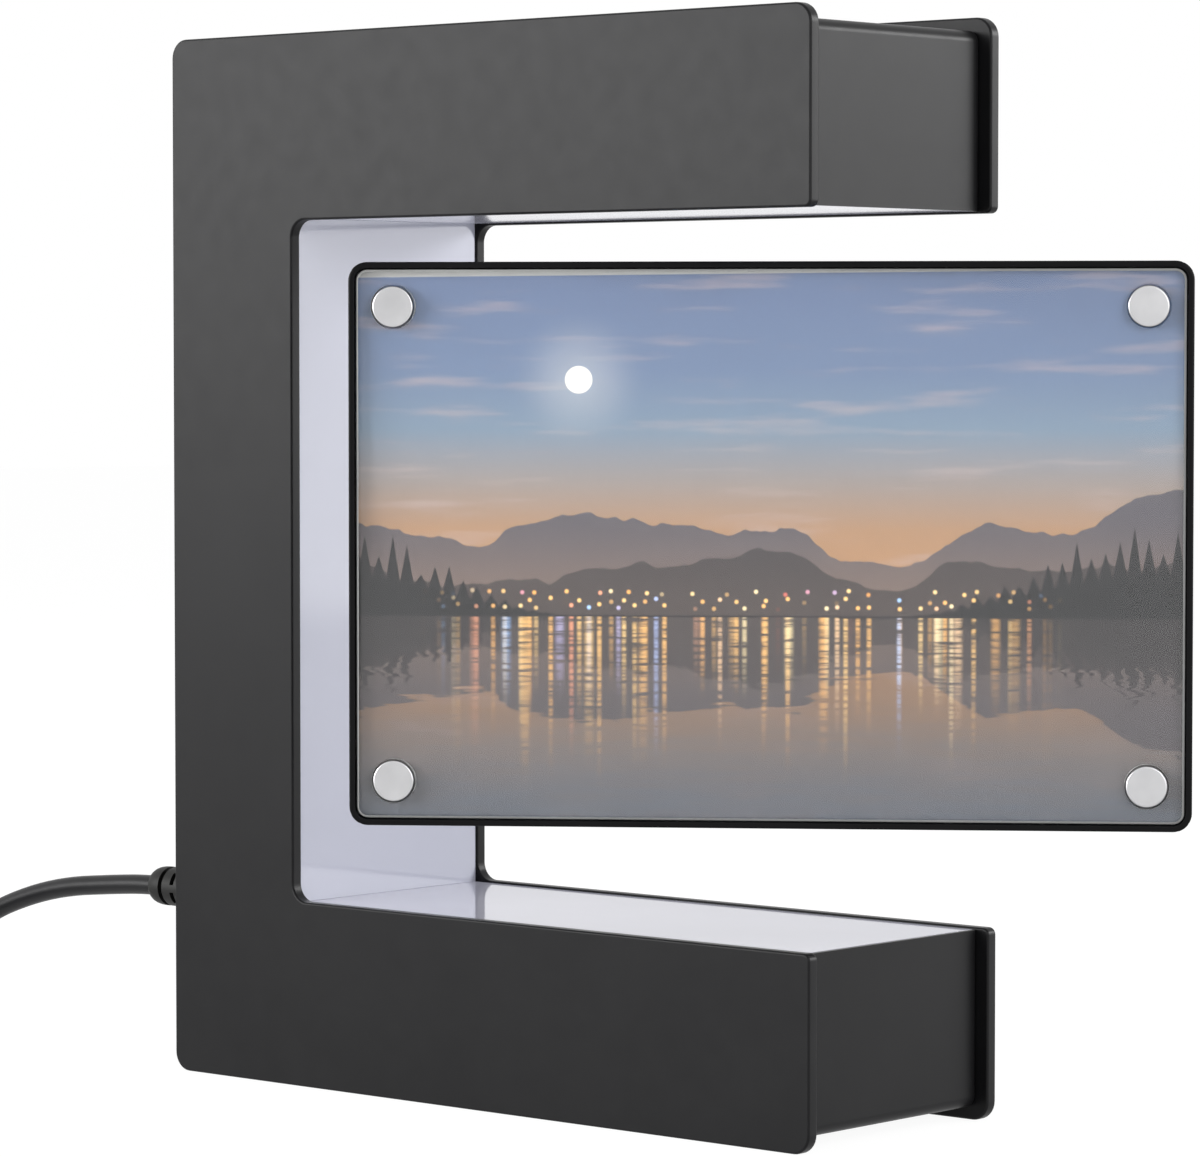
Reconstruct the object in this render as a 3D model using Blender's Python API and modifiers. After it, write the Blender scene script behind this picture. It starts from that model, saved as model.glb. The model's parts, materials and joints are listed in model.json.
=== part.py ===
"""Levitating photo frame.

A C-shaped stand carries an electromagnet in its upper arm. A framed picture with a magnet
under its top edge floats in the window of the C and turns about a vertical axis below the
electromagnet. Lengths are metres and +Z is up. The front of the stand faces -Y, the spine
is at -X, and the stand rests on the lower edges of its two cheek plates.
"""
import math

import bmesh
import bpy
from mathutils import Matrix, Vector

MM = 0.001

# Fits between neighbouring pieces
FIT = 0.3 * MM
SINK = 0.5 * MM

# Floating picture
PICTURE_WIDTH = 152.2 * MM
PICTURE_HEIGHT = 102.2 * MM
PICTURE_THICKNESS = 12.0 * MM
PICTURE_CORNER = 3.4 * MM
RIM_WALL = 1.1 * MM
RIM_EDGE = 0.35 * MM
COVER_THICKNESS = 2.4 * MM
COVER_SINK = 0.2 * MM
COVER_EDGE = 0.8 * MM
PRINT_THICKNESS = 0.3 * MM
DISC_DIAMETER = 7.44 * MM
DISC_THICKNESS = 2.2 * MM
DISC_EDGE = 0.3 * MM
DISC_PROUD = 0.15 * MM
DISC_INSET = 8.1 * MM
CORNER_MAGNET_DIAMETER = 7.0 * MM
LIFT_MAGNET_LENGTH = 24.0 * MM
LIFT_MAGNET_HEIGHT = 8.0 * MM
LIFT_MAGNET_COVER = 1.0 * MM
REST_TURN = math.radians(36.0)

# Electromagnet
BOBBIN_DIAMETER = 34.0 * MM
BOBBIN_FLANGE = 1.6 * MM
BOBBIN_HUB = 1.5 * MM
WINDING_INSET = 1.0 * MM
CORE_DIAMETER = 10.0 * MM
CORE_HEAD_DIAMETER = 16.0 * MM
CORE_HEAD = 3.6 * MM
SENSOR_LENGTH = 4.2 * MM
SENSOR_WIDTH = 3.2 * MM
SENSOR_HEIGHT = 1.2 * MM
SENSOR_BOARD_SIDE = 18.0 * MM
SENSOR_BOARD_THICKNESS = 1.2 * MM

# Stand
STAND_DEPTH = 54.2 * MM
CHEEK_THICKNESS = 2.5 * MM
CHEEK_OVERHANG = 2.4 * MM
CHEEK_CORNER = 3.6 * MM
CHEEK_EDGE = 0.4 * MM
WINDOW_CORNER = 3.4 * MM
ARM_TIP_CORNER = 1.3 * MM
ARM_HEIGHT = 35.3 * MM
SPINE_WIDTH = 32.4 * MM
BAND_WALL = 3.0 * MM
BAND_CORNER = 2.2 * MM
BAND_REBATE_LIP = 0.9 * MM
PANEL_THICKNESS = 2.0 * MM
PANEL_RECESS = 0.4 * MM
LIFT_GAP = 8.7 * MM
FLOOR_GAP = 18.5 * MM
SPIN_CLEARANCE = 18.7 * MM
POST_RADIUS = 3.0 * MM
POST_GAP = 1.6 * MM
POST_SETBACK = 1.2 * MM

# Screws through the rear cheek
SCREW_HEAD_RADIUS = 2.6 * MM
SCREW_HEAD_HEIGHT = 1.3 * MM
SCREW_HEAD_SINK = 0.1 * MM
SCREW_SHANK_RADIUS = 1.3 * MM
SCREW_LENGTH = 9.0 * MM
SCREW_HOLE_SPARE = 1.0 * MM

# Light strips behind the panels
STRIP_WIDTH = 5.0 * MM
STRIP_THICKNESS = 0.8 * MM
STRIP_MARGIN = 8.0 * MM
STRIP_SIDE_GAP = 0.5 * MM
CHIP_LENGTH = 5.0 * MM
CHIP_HEIGHT = 1.2 * MM
CHIPS_PER_STRIP = 6

# Control board in the lower arm
BOARD_LENGTH = 70.0 * MM
BOARD_WIDTH = 40.0 * MM
BOARD_THICKNESS = 1.6 * MM
BOARD_PAD_THICKNESS = 1.2 * MM
BOARD_PAD_MARGIN = 4.0 * MM
CHIP_SIDE = 10.0 * MM
DRIVER_CHIP_HEIGHT = 2.2 * MM
CAPACITOR_RADIUS = 4.0 * MM
CAPACITOR_HEIGHT = 12.0 * MM
CAPACITOR_EDGE = 0.8 * MM
INDUCTOR_RADIUS = 5.0 * MM
INDUCTOR_HEIGHT = 6.0 * MM
TERMINAL_LENGTH = 8.0 * MM
TERMINAL_WIDTH = 6.0 * MM
TERMINAL_HEIGHT = 6.0 * MM
TERMINAL_SPREAD = 9.0 * MM
WIRE_RADIUS = 0.8 * MM
COIL_LEAD_SIDE = 9.0 * MM
COIL_LEAD_BEND = 7.0 * MM

# Cord boot in the spine's back wall
CORD_DIAMETER = 4.0 * MM
BOOT_HEIGHT = 31.6 * MM
BOOT_RADIUS = 3.95 * MM
BOOT_REACH = 35.7 * MM
BOOT_DOME = 3.3 * MM
BOOT_TAIL_WALL = 0.3 * MM
BOOT_GROOVE_BACK = 0.7 * MM
BOOT_GROOVE = 1.1 * MM
BOOT_GROOVE_DEPTH = 0.9 * MM
BOOT_COLLAR_RADIUS = 5.2 * MM
BOOT_COLLAR = 3.0 * MM
BOOT_NECK_RADIUS = 3.4 * MM
BOOT_FLANGE_RADIUS = 5.0 * MM
BOOT_FLANGE = 1.5 * MM
BOOT_SLOT = 1.1 * MM
BOOT_SLOT_DEPTH = 1.0 * MM
BOOT_SLOT_PITCH = 3.35 * MM
BOOT_SLOT_ROWS = 4
BOOT_SLOTS_PER_ROW = 4

# Coil of spare cord and the plug that lies on it
COIL_RADIUS = 22.5 * MM
COIL_HALF_WIDTH = 7.4 * MM
COIL_HEIGHT = 12.2 * MM
COIL_ROUND = 3.0 * MM
PLUG_GRIP_LENGTH = 20.0 * MM
PLUG_GRIP_WIDTH = 14.5 * MM
PLUG_GRIP_HEIGHT = 7.0 * MM
PLUG_GRIP_EDGE = 1.6 * MM
PLUG_TAIL_BACK = 2.0 * MM
PLUG_SHELL_LENGTH = 12.0 * MM
PLUG_SHELL_WIDTH = 12.0 * MM
PLUG_SHELL_HEIGHT = 4.5 * MM
PLUG_SHELL_WALL = 0.4 * MM
PLUG_TONGUE_LENGTH = 9.5 * MM
PLUG_TONGUE_HEIGHT = 1.6 * MM

# Facets of the round shapes
ARC_STEPS = 5
ROUND_STEPS = 24
COIL_STEPS = 36
CUT_SPARE = 2.0 * MM

# Stand worked out from the picture and the magnet
STAND_HEIGHT = 2 * ARM_HEIGHT + FLOOR_GAP + PICTURE_HEIGHT + LIFT_GAP
SWING_RADIUS = math.hypot(PICTURE_WIDTH / 2, PICTURE_THICKNESS / 2)
AXIS_FROM_BACK = SPINE_WIDTH + SWING_RADIUS + SPIN_CLEARANCE
WALL_FROM_EDGE = CHEEK_OVERHANG + BAND_WALL
ARM_PAST_AXIS = BOBBIN_DIAMETER / 2 + POST_GAP + 2 * POST_RADIUS + POST_SETBACK + WALL_FROM_EDGE
STAND_WIDTH = AXIS_FROM_BACK + ARM_PAST_AXIS


# World places: the origin is under the middle of the whole object
PICTURE_REACH = (AXIS_FROM_BACK + PICTURE_WIDTH / 2 * math.cos(REST_TURN)
                 + (PICTURE_THICKNESS / 2 - RIM_EDGE) * math.sin(REST_TURN))
BOOT_TAIL_FROM_BACK = CHEEK_OVERHANG - BOOT_REACH
BACK_X = -(PICTURE_REACH + BOOT_TAIL_FROM_BACK) / 2
TIP_X = BACK_X + STAND_WIDTH
AXIS_X = BACK_X + AXIS_FROM_BACK
SPINE_X = BACK_X + SPINE_WIDTH
BAND_BACK_X = BACK_X + CHEEK_OVERHANG
BAND_TIP_X = TIP_X - CHEEK_OVERHANG
INNER_BACK_X = BACK_X + WALL_FROM_EDGE
INNER_TIP_X = TIP_X - WALL_FROM_EDGE
BOOT_TAIL_X = BACK_X + BOOT_TAIL_FROM_BACK
CHEEK_INSIDE_Y = STAND_DEPTH / 2 - CHEEK_THICKNESS
CORE_DEPTH = 2 * (CHEEK_INSIDE_Y - FIT)
PANEL_FACE_X = SPINE_X - PANEL_RECESS
LOWER_FACE_Z = ARM_HEIGHT - PANEL_RECESS
UPPER_FACE_Z = STAND_HEIGHT - LOWER_FACE_Z
PANEL_BACK_X = PANEL_FACE_X - PANEL_THICKNESS
LOWER_BACK_Z = LOWER_FACE_Z - PANEL_THICKNESS
UPPER_BACK_Z = UPPER_FACE_Z + PANEL_THICKNESS
TOP_WALL_Z = STAND_HEIGHT - WALL_FROM_EDGE
STRIP_Y = -CHEEK_INSIDE_Y + STRIP_SIDE_GAP + STRIP_WIDTH / 2
PICTURE_Z = ARM_HEIGHT + FLOOR_GAP + PICTURE_HEIGHT / 2

# Layers of the picture, from its middle plane outwards
COVER_FACE = PICTURE_THICKNESS / 2 - COVER_SINK
COVER_BACK = COVER_FACE - COVER_THICKNESS
PRINT_FACE = COVER_BACK - FIT
PRINT_BACK = PRINT_FACE - PRINT_THICKNESS
WEB_HALF = PRINT_BACK - FIT
DISC_X = PICTURE_WIDTH / 2 - DISC_INSET
DISC_Z = PICTURE_HEIGHT / 2 - DISC_INSET
CORNERS = ((-1, 1), (1, 1), (-1, -1), (1, -1))

# The cord's route: metres out from the boot's tail, towards the rear, and above the floor
CORD_ROUTE = (
    (0.0003, 0.0000, 0.03145),
    (0.0050, 0.0000, 0.0313),
    (0.0101, 0.0000, 0.03095),
    (0.0173, 0.0000, 0.0303),
    (0.0247, 0.0000, 0.0295),
    (0.0325, 0.0000, 0.0281),
    (0.0403, 0.0000, 0.0260),
    (0.0481, 0.0000, 0.0232),
    (0.0561, 0.0003, 0.0194),
    (0.0641, 0.0008, 0.0148),
    (0.0721, 0.0014, 0.0100),
    (0.0801, 0.0019, 0.0060),
    (0.0881, 0.0022, 0.0034),
    (0.0925, 0.0023, 0.0026),
    (0.0961, 0.0023, 0.0023),
)
CORD_SPACING = 2.5 * CORD_DIAMETER
COIL_X = BOOT_TAIL_X - CORD_ROUTE[-1][0]
COIL_Y = CORD_ROUTE[-1][1] - CORD_DIAMETER / 2 - FIT - COIL_RADIUS - COIL_HALF_WIDTH

# Turns that lay a shape drawn in its own XY plane into the model
UPRIGHT = Matrix.Rotation(math.radians(90.0), 4, "X")
FACING_FRONT = UPRIGHT
FACING_REAR = Matrix.Rotation(math.radians(-90.0), 4, "X")
FACING_BACK = Matrix.Rotation(math.radians(-90.0), 4, "Y")
FACING_TIP = Matrix.Rotation(math.radians(90.0), 4, "Y")


def clear_scene():
    for thing in list(bpy.data.objects):
        bpy.data.objects.remove(thing, do_unlink=True)


def new_collection(name):
    collection = bpy.data.collections.new(name)
    bpy.context.scene.collection.children.link(collection)
    return collection


def finish(name, colour, roughness, metallic=0.0, transmission=0.0):
    material = bpy.data.materials.new(name)
    material.use_nodes = True
    shader = material.node_tree.nodes["Principled BSDF"]
    shader.inputs["Base Color"].default_value = (*colour, 1.0)
    shader.inputs["Roughness"].default_value = roughness
    shader.inputs["Metallic"].default_value = metallic
    shader.inputs["Transmission Weight"].default_value = transmission
    return material


clear_scene()
PARTS = new_collection("levitating_photo_frame")
CUTTERS = new_collection("cutters")

GREY_SATIN = finish("grey satin plastic", (0.075, 0.075, 0.078), 0.42)
OPAL = finish("opal diffuser", (0.62, 0.64, 0.72), 0.12)
BLACK_GLOSS = finish("black gloss plastic", (0.012, 0.012, 0.013), 0.25)
CLEAR = finish("clear acrylic", (0.95, 0.96, 0.97), 0.03, transmission=1.0)
PAPER = finish("photo paper", (0.40, 0.33, 0.32), 0.35)
SILVER = finish("satin nickel", (0.72, 0.72, 0.73), 0.32, metallic=1.0)
STEEL = finish("zinc steel", (0.55, 0.55, 0.56), 0.35, metallic=1.0)
COPPER = finish("enamelled copper", (0.48, 0.17, 0.07), 0.30, metallic=1.0)
NYLON = finish("white nylon", (0.78, 0.77, 0.73), 0.50)
GREEN_BOARD = finish("green circuit board", (0.02, 0.14, 0.06), 0.40)
BLACK_EPOXY = finish("black epoxy", (0.02, 0.02, 0.02), 0.45)
FOAM = finish("grey foam tape", (0.30, 0.30, 0.31), 0.85)
RUBBER = finish("black rubber", (0.030, 0.030, 0.033), 0.48)


def stored(name, mesh, material, turn=None, place=(0.0, 0.0, 0.0), parent=None):
    """Make a part from a mesh, turned and then moved to its place in its parent's frame."""
    part = bpy.data.objects.new(name, mesh)
    part.data.materials.append(material)
    part.matrix_local = Matrix.Translation(place) @ (turn or Matrix.Identity(4))
    part.parent = parent
    PARTS.objects.link(part)
    return part


def cutter(name, mesh, turn=None, place=(0.0, 0.0, 0.0), parent=None):
    """Make a tool for a Boolean: it isn't a part of the object."""
    tool = bpy.data.objects.new(name, mesh)
    tool.matrix_local = Matrix.Translation(place) @ (turn or Matrix.Identity(4))
    tool.parent = parent
    tool.hide_render = True
    tool.display_type = "WIRE"
    CUTTERS.objects.link(tool)
    return tool


def boolean(part, tool, operation):
    modifier = part.modifiers.new(tool.name, "BOOLEAN")
    modifier.operation = operation
    modifier.object = tool


def soften(part, width, segments=1):
    """Break the sharp edges of a part."""
    modifier = part.modifiers.new("edge", "BEVEL")
    modifier.width = width
    modifier.segments = segments
    modifier.limit_method = "ANGLE"
    modifier.angle_limit = math.radians(50.0)


def rounded_outline(corners):
    """Points of a closed outline whose corners (x, y, radius) are rounded by arcs."""
    points = []
    count = len(corners)
    for index, (x, y, radius) in enumerate(corners):
        here = Vector((x, y))
        if radius == 0.0:
            points.append(here)
            continue
        back = (Vector(corners[index - 1][:2]) - here).normalized()
        ahead = (Vector(corners[(index + 1) % count][:2]) - here).normalized()
        half = back.angle(ahead) / 2
        centre = here + (back + ahead).normalized() * radius / math.sin(half)
        first = here + back * radius / math.tan(half) - centre
        last = here + ahead * radius / math.tan(half) - centre
        start = math.atan2(first.y, first.x)
        sweep = math.atan2(last.y, last.x) - start
        sweep = (sweep + math.pi) % (2 * math.pi) - math.pi
        for step in range(ARC_STEPS + 1):
            angle = start + sweep * step / ARC_STEPS
            points.append(centre + radius * Vector((math.cos(angle), math.sin(angle))))
    return points


def rectangle(width, height, radius=0.0):
    x = width / 2
    y = height / 2
    return rounded_outline([(-x, -y, radius), (x, -y, radius), (x, y, radius), (-x, y, radius)])


def extruded(name, outlines, depth):
    """Mesh of flat outlines, the first outside and the rest holes, thick about their plane."""
    curve = bpy.data.curves.new(name, "CURVE")
    curve.dimensions = "2D"
    curve.fill_mode = "BOTH"
    curve.extrude = depth / 2
    for outline in outlines:
        spline = curve.splines.new("POLY")
        spline.points.add(len(outline) - 1)
        for point, corner in zip(spline.points, outline):
            point.co = (corner[0], corner[1], 0.0, 1.0)
        spline.use_cyclic_u = True
    sketch = bpy.data.objects.new(name, curve)
    bpy.context.scene.collection.objects.link(sketch)
    depsgraph = bpy.context.evaluated_depsgraph_get()
    mesh = bpy.data.meshes.new_from_object(sketch.evaluated_get(depsgraph))
    bpy.data.objects.remove(sketch)
    bpy.data.curves.remove(curve)
    solid = bmesh.new()
    solid.from_mesh(mesh)
    bmesh.ops.remove_doubles(solid, verts=solid.verts, dist=0.001 * MM)
    bmesh.ops.dissolve_limit(solid, angle_limit=math.radians(0.5), verts=solid.verts, edges=solid.edges)
    bmesh.ops.recalc_face_normals(solid, faces=solid.faces)
    solid.to_mesh(mesh)
    solid.free()
    mesh.materials.clear()
    return mesh


def bevel_where(mesh, chosen, width, segments):
    """Round the edges of a mesh whose two ends both pass the test."""
    solid = bmesh.new()
    solid.from_mesh(mesh)
    edges = [edge for edge in solid.edges if chosen(edge.verts[0].co) and chosen(edge.verts[1].co)]
    bmesh.ops.bevel(solid, geom=edges, offset=width, segments=segments, profile=0.5, affect="EDGES")
    solid.to_mesh(mesh)
    solid.free()


def blocks(name, boxes):
    """Mesh of separate boxes, each given by its size and the matrix that places it."""
    mesh = bpy.data.meshes.new(name)
    solid = bmesh.new()
    for size, matrix in boxes:
        scale = Matrix.Diagonal((*size, 1.0))
        bmesh.ops.create_cube(solid, size=1.0, matrix=matrix @ scale)
    solid.to_mesh(mesh)
    solid.free()
    return mesh


def block(name, size):
    return blocks(name, [(size, Matrix.Identity(4))])


def rods(name, places, radius, depth):
    """Mesh of separate round rods along Y, each with its middle at a place (x, y, z)."""
    mesh = bpy.data.meshes.new(name)
    solid = bmesh.new()
    for place in places:
        matrix = Matrix.Translation(place) @ UPRIGHT
        bmesh.ops.create_cone(solid, cap_ends=True, segments=ROUND_STEPS, radius1=radius,
                              radius2=radius, depth=depth, matrix=matrix)
    solid.to_mesh(mesh)
    solid.free()
    return mesh


def profile_mesh(name, profile, closed):
    """Mesh of a turned part's profile of (radius, height), run down its outer side."""
    mesh = bpy.data.meshes.new(name)
    count = len(profile)
    edges = [(step, step + 1) for step in range(count - 1)]
    if closed:
        edges.append((count - 1, 0))
    mesh.from_pydata([(radius, 0.0, height) for radius, height in profile], edges, [])
    return mesh


def turned(name, profile, material, closed=False, steps=ROUND_STEPS, **placing):
    """Make a part by turning its profile about its own Z axis."""
    part = stored(name, profile_mesh(name, profile, closed), material, **placing)
    modifier = part.modifiers.new("turn", "SCREW")
    modifier.steps = steps
    modifier.render_steps = steps
    modifier.use_merge_vertices = True
    modifier.merge_threshold = 0.001 * MM
    modifier.use_smooth_shade = True
    return part


def smooth_route(points, spacing):
    """Points along a smooth curve that passes through all the given points."""
    knots = [Vector(point) for point in points]
    ends = [2 * knots[0] - knots[1]] + knots + [2 * knots[-1] - knots[-2]]
    route = [knots[0]]
    for index in range(1, len(ends) - 2):
        before, start, stop, after = ends[index - 1:index + 3]
        steps = max(1, round((stop - start).length / spacing))
        for step in range(1, steps + 1):
            t = step / steps
            route.append(0.5 * (2 * start + (stop - before) * t
                                + (2 * before - 5 * start + 4 * stop - after) * t ** 2
                                + (3 * start - before - 3 * stop + after) * t ** 3))
    return route


def tube(name, route, radius, material):
    """Make a part that is a round tube with closed ends along a route."""
    curve = bpy.data.curves.new(name, "CURVE")
    curve.dimensions = "3D"
    curve.bevel_depth = radius
    curve.bevel_resolution = 2
    curve.use_fill_caps = True
    spline = curve.splines.new("POLY")
    spline.points.add(len(route) - 1)
    for point, place in zip(spline.points, route):
        point.co = (*place, 1.0)
    part = bpy.data.objects.new(name, curve)
    part.data.materials.append(material)
    PARTS.objects.link(part)
    return part


def post_places():
    """The six posts (x, z) that tie the cheeks together, round the C from its lower corner."""
    spine_x = (INNER_BACK_X + PANEL_BACK_X) / 2
    tip_x = INNER_TIP_X - POST_SETBACK - POST_RADIUS
    low = (WALL_FROM_EDGE + LOWER_BACK_Z) / 2
    high = STAND_HEIGHT - low
    third = (high - low) / 3
    spine = [(spine_x, low + third * step) for step in range(4)]
    return spine + [(tip_x, high), (tip_x, low)]


def cheek_mesh(name):
    top = STAND_HEIGHT
    arm = STAND_HEIGHT - ARM_HEIGHT
    corners = [
        (BACK_X, 0.0, CHEEK_CORNER),
        (TIP_X, 0.0, CHEEK_CORNER),
        (TIP_X, ARM_HEIGHT, ARM_TIP_CORNER),
        (SPINE_X, ARM_HEIGHT, WINDOW_CORNER),
        (SPINE_X, arm, WINDOW_CORNER),
        (TIP_X, arm, ARM_TIP_CORNER),
        (TIP_X, top, CHEEK_CORNER),
        (BACK_X, top, CHEEK_CORNER),
    ]
    return extruded(name, [rounded_outline(corners)], CHEEK_THICKNESS)


def make_front_cheek():
    """Front plate with the six posts that stand on its inner face and take the screws."""
    y = -(STAND_DEPTH - CHEEK_THICKNESS) / 2
    cheek = stored("front_cheek", cheek_mesh("front_cheek"), GREY_SATIN, UPRIGHT, (0.0, y, 0.0))
    soften(cheek, CHEEK_EDGE)
    root = -CHEEK_INSIDE_Y - SINK
    end = CHEEK_INSIDE_Y - FIT
    middles = [(x, (root + end) / 2, z) for x, z in post_places()]
    boolean(cheek, cutter("post_rods", rods("post_rods", middles, POST_RADIUS, end - root)), "UNION")
    depth = SCREW_LENGTH + SCREW_HOLE_SPARE
    holes = [(x, end + (CUT_SPARE - depth) / 2, z) for x, z in post_places()]
    drill = rods("post_holes", holes, SCREW_SHANK_RADIUS + FIT, depth + CUT_SPARE)
    boolean(cheek, cutter("post_holes", drill), "DIFFERENCE")


def make_rear_cheek():
    """Rear plate with a counterbored hole for each screw."""
    y = (STAND_DEPTH - CHEEK_THICKNESS) / 2
    cheek = stored("rear_cheek", cheek_mesh("rear_cheek"), GREY_SATIN, UPRIGHT, (0.0, y, 0.0))
    soften(cheek, CHEEK_EDGE)
    through = [(x, y, z) for x, z in post_places()]
    drill = rods("screw_holes", through, SCREW_SHANK_RADIUS + FIT, CHEEK_THICKNESS + 2 * CUT_SPARE)
    boolean(cheek, cutter("screw_holes", drill), "DIFFERENCE")
    depth = SCREW_HEAD_HEIGHT + SCREW_HEAD_SINK + FIT
    heads = [(x, STAND_DEPTH / 2 + (CUT_SPARE - depth) / 2, z) for x, z in post_places()]
    mill = rods("screw_seats", heads, SCREW_HEAD_RADIUS + FIT, depth + CUT_SPARE)
    boolean(cheek, cutter("screw_seats", mill), "DIFFERENCE")


def make_screws():
    top = STAND_DEPTH / 2 - SCREW_HEAD_SINK
    neck = -SCREW_HEAD_HEIGHT
    profile = [
        (0.0, 0.0),
        (SCREW_HEAD_RADIUS, 0.0),
        (SCREW_HEAD_RADIUS, neck),
        (SCREW_SHANK_RADIUS, neck),
        (SCREW_SHANK_RADIUS, neck - SCREW_LENGTH),
        (0.0, neck - SCREW_LENGTH),
    ]
    for number, (x, z) in enumerate(post_places(), 1):
        turned(f"cheek_screw_{number}", profile, STEEL, turn=FACING_REAR, place=(x, top, z))


def make_core_band():
    """One wall that runs round the back of the C between the cheeks, rebated at its two ends."""
    back = BAND_BACK_X
    tip = BAND_TIP_X
    floor = CHEEK_OVERHANG
    roof = STAND_HEIGHT - CHEEK_OVERHANG
    seat = PANEL_THICKNESS + FIT
    lip = tip - BAND_REBATE_LIP
    corners = [
        (tip, LOWER_FACE_Z, 0.0),
        (lip, LOWER_FACE_Z, 0.0),
        (lip, LOWER_FACE_Z - seat, 0.0),
        (INNER_TIP_X, LOWER_FACE_Z - seat, 0.0),
        (INNER_TIP_X, WALL_FROM_EDGE, 0.0),
        (INNER_BACK_X, WALL_FROM_EDGE, 0.0),
        (INNER_BACK_X, TOP_WALL_Z, 0.0),
        (INNER_TIP_X, TOP_WALL_Z, 0.0),
        (INNER_TIP_X, UPPER_FACE_Z + seat, 0.0),
        (lip, UPPER_FACE_Z + seat, 0.0),
        (lip, UPPER_FACE_Z, 0.0),
        (tip, UPPER_FACE_Z, 0.0),
        (tip, roof, BAND_CORNER),
        (back, roof, BAND_CORNER),
        (back, floor, BAND_CORNER),
        (tip, floor, BAND_CORNER),
    ]
    mesh = extruded("core_band", [rounded_outline(corners)], CORE_DEPTH)
    band = stored("core_band", mesh, GREY_SATIN, UPRIGHT)
    drill = rods("boot_hole", [(0.0, 0.0, 0.0)], BOOT_NECK_RADIUS + FIT, BAND_WALL + 2 * CUT_SPARE)
    turn = Matrix.Rotation(math.radians(90.0), 4, "Z")
    place = ((BAND_BACK_X + INNER_BACK_X) / 2, 0.0, BOOT_HEIGHT)
    boolean(band, cutter("boot_hole", drill, turn, place), "DIFFERENCE")


def make_panels():
    """Three glossy opal panels that line the window."""
    reach = BAND_TIP_X - BAND_REBATE_LIP - FIT
    arm_size = (reach - PANEL_BACK_X, CORE_DEPTH, PANEL_THICKNESS)
    arm_x = (reach + PANEL_BACK_X) / 2
    upper_z = (UPPER_FACE_Z + UPPER_BACK_Z) / 2
    lower_z = (LOWER_FACE_Z + LOWER_BACK_Z) / 2
    stored("upper_panel", block("upper_panel", arm_size), OPAL, place=(arm_x, 0.0, upper_z))
    stored("lower_panel", block("lower_panel", arm_size), OPAL, place=(arm_x, 0.0, lower_z))
    spine_size = (PANEL_THICKNESS, CORE_DEPTH, UPPER_FACE_Z - LOWER_FACE_Z - 2 * FIT)
    spine_x = (PANEL_FACE_X + PANEL_BACK_X) / 2
    stored("spine_panel", block("spine_panel", spine_size), OPAL, place=(spine_x, 0.0, STAND_HEIGHT / 2))


def strip_mesh(name, length):
    """A thin strip along X with raised light chips on its upper side."""
    pitch = length / CHIPS_PER_STRIP
    end = length / 2
    points = [(end, 0.0), (end, -STRIP_THICKNESS), (-end, -STRIP_THICKNESS), (-end, 0.0)]
    for number in range(CHIPS_PER_STRIP):
        middle = (number + 0.5) * pitch - end
        left = middle - CHIP_LENGTH / 2
        right = middle + CHIP_LENGTH / 2
        points += [(left, 0.0), (left, CHIP_HEIGHT), (right, CHIP_HEIGHT), (right, 0.0)]
    return extruded(name, [points], STRIP_WIDTH)


def make_light_strips():
    stand_off = FIT + CHIP_HEIGHT
    arm_start = SPINE_X + STRIP_MARGIN
    arm_stop = INNER_TIP_X - STRIP_MARGIN
    arm_x = (arm_start + arm_stop) / 2
    arm_length = arm_stop - arm_start
    spine_length = UPPER_FACE_Z - LOWER_FACE_Z - 2 * STRIP_MARGIN
    over = Matrix.Rotation(math.pi, 4, "Y") @ UPRIGHT
    aside = FACING_TIP @ UPRIGHT
    stored("lower_led_strip", strip_mesh("lower_led_strip", arm_length), NYLON, UPRIGHT,
           (arm_x, STRIP_Y, LOWER_BACK_Z - stand_off))
    stored("upper_led_strip", strip_mesh("upper_led_strip", arm_length), NYLON, over,
           (arm_x, STRIP_Y, UPPER_BACK_Z + stand_off))
    stored("spine_led_strip", strip_mesh("spine_led_strip", spine_length), NYLON, aside,
           (PANEL_BACK_X - stand_off, STRIP_Y, STAND_HEIGHT / 2))


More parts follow.
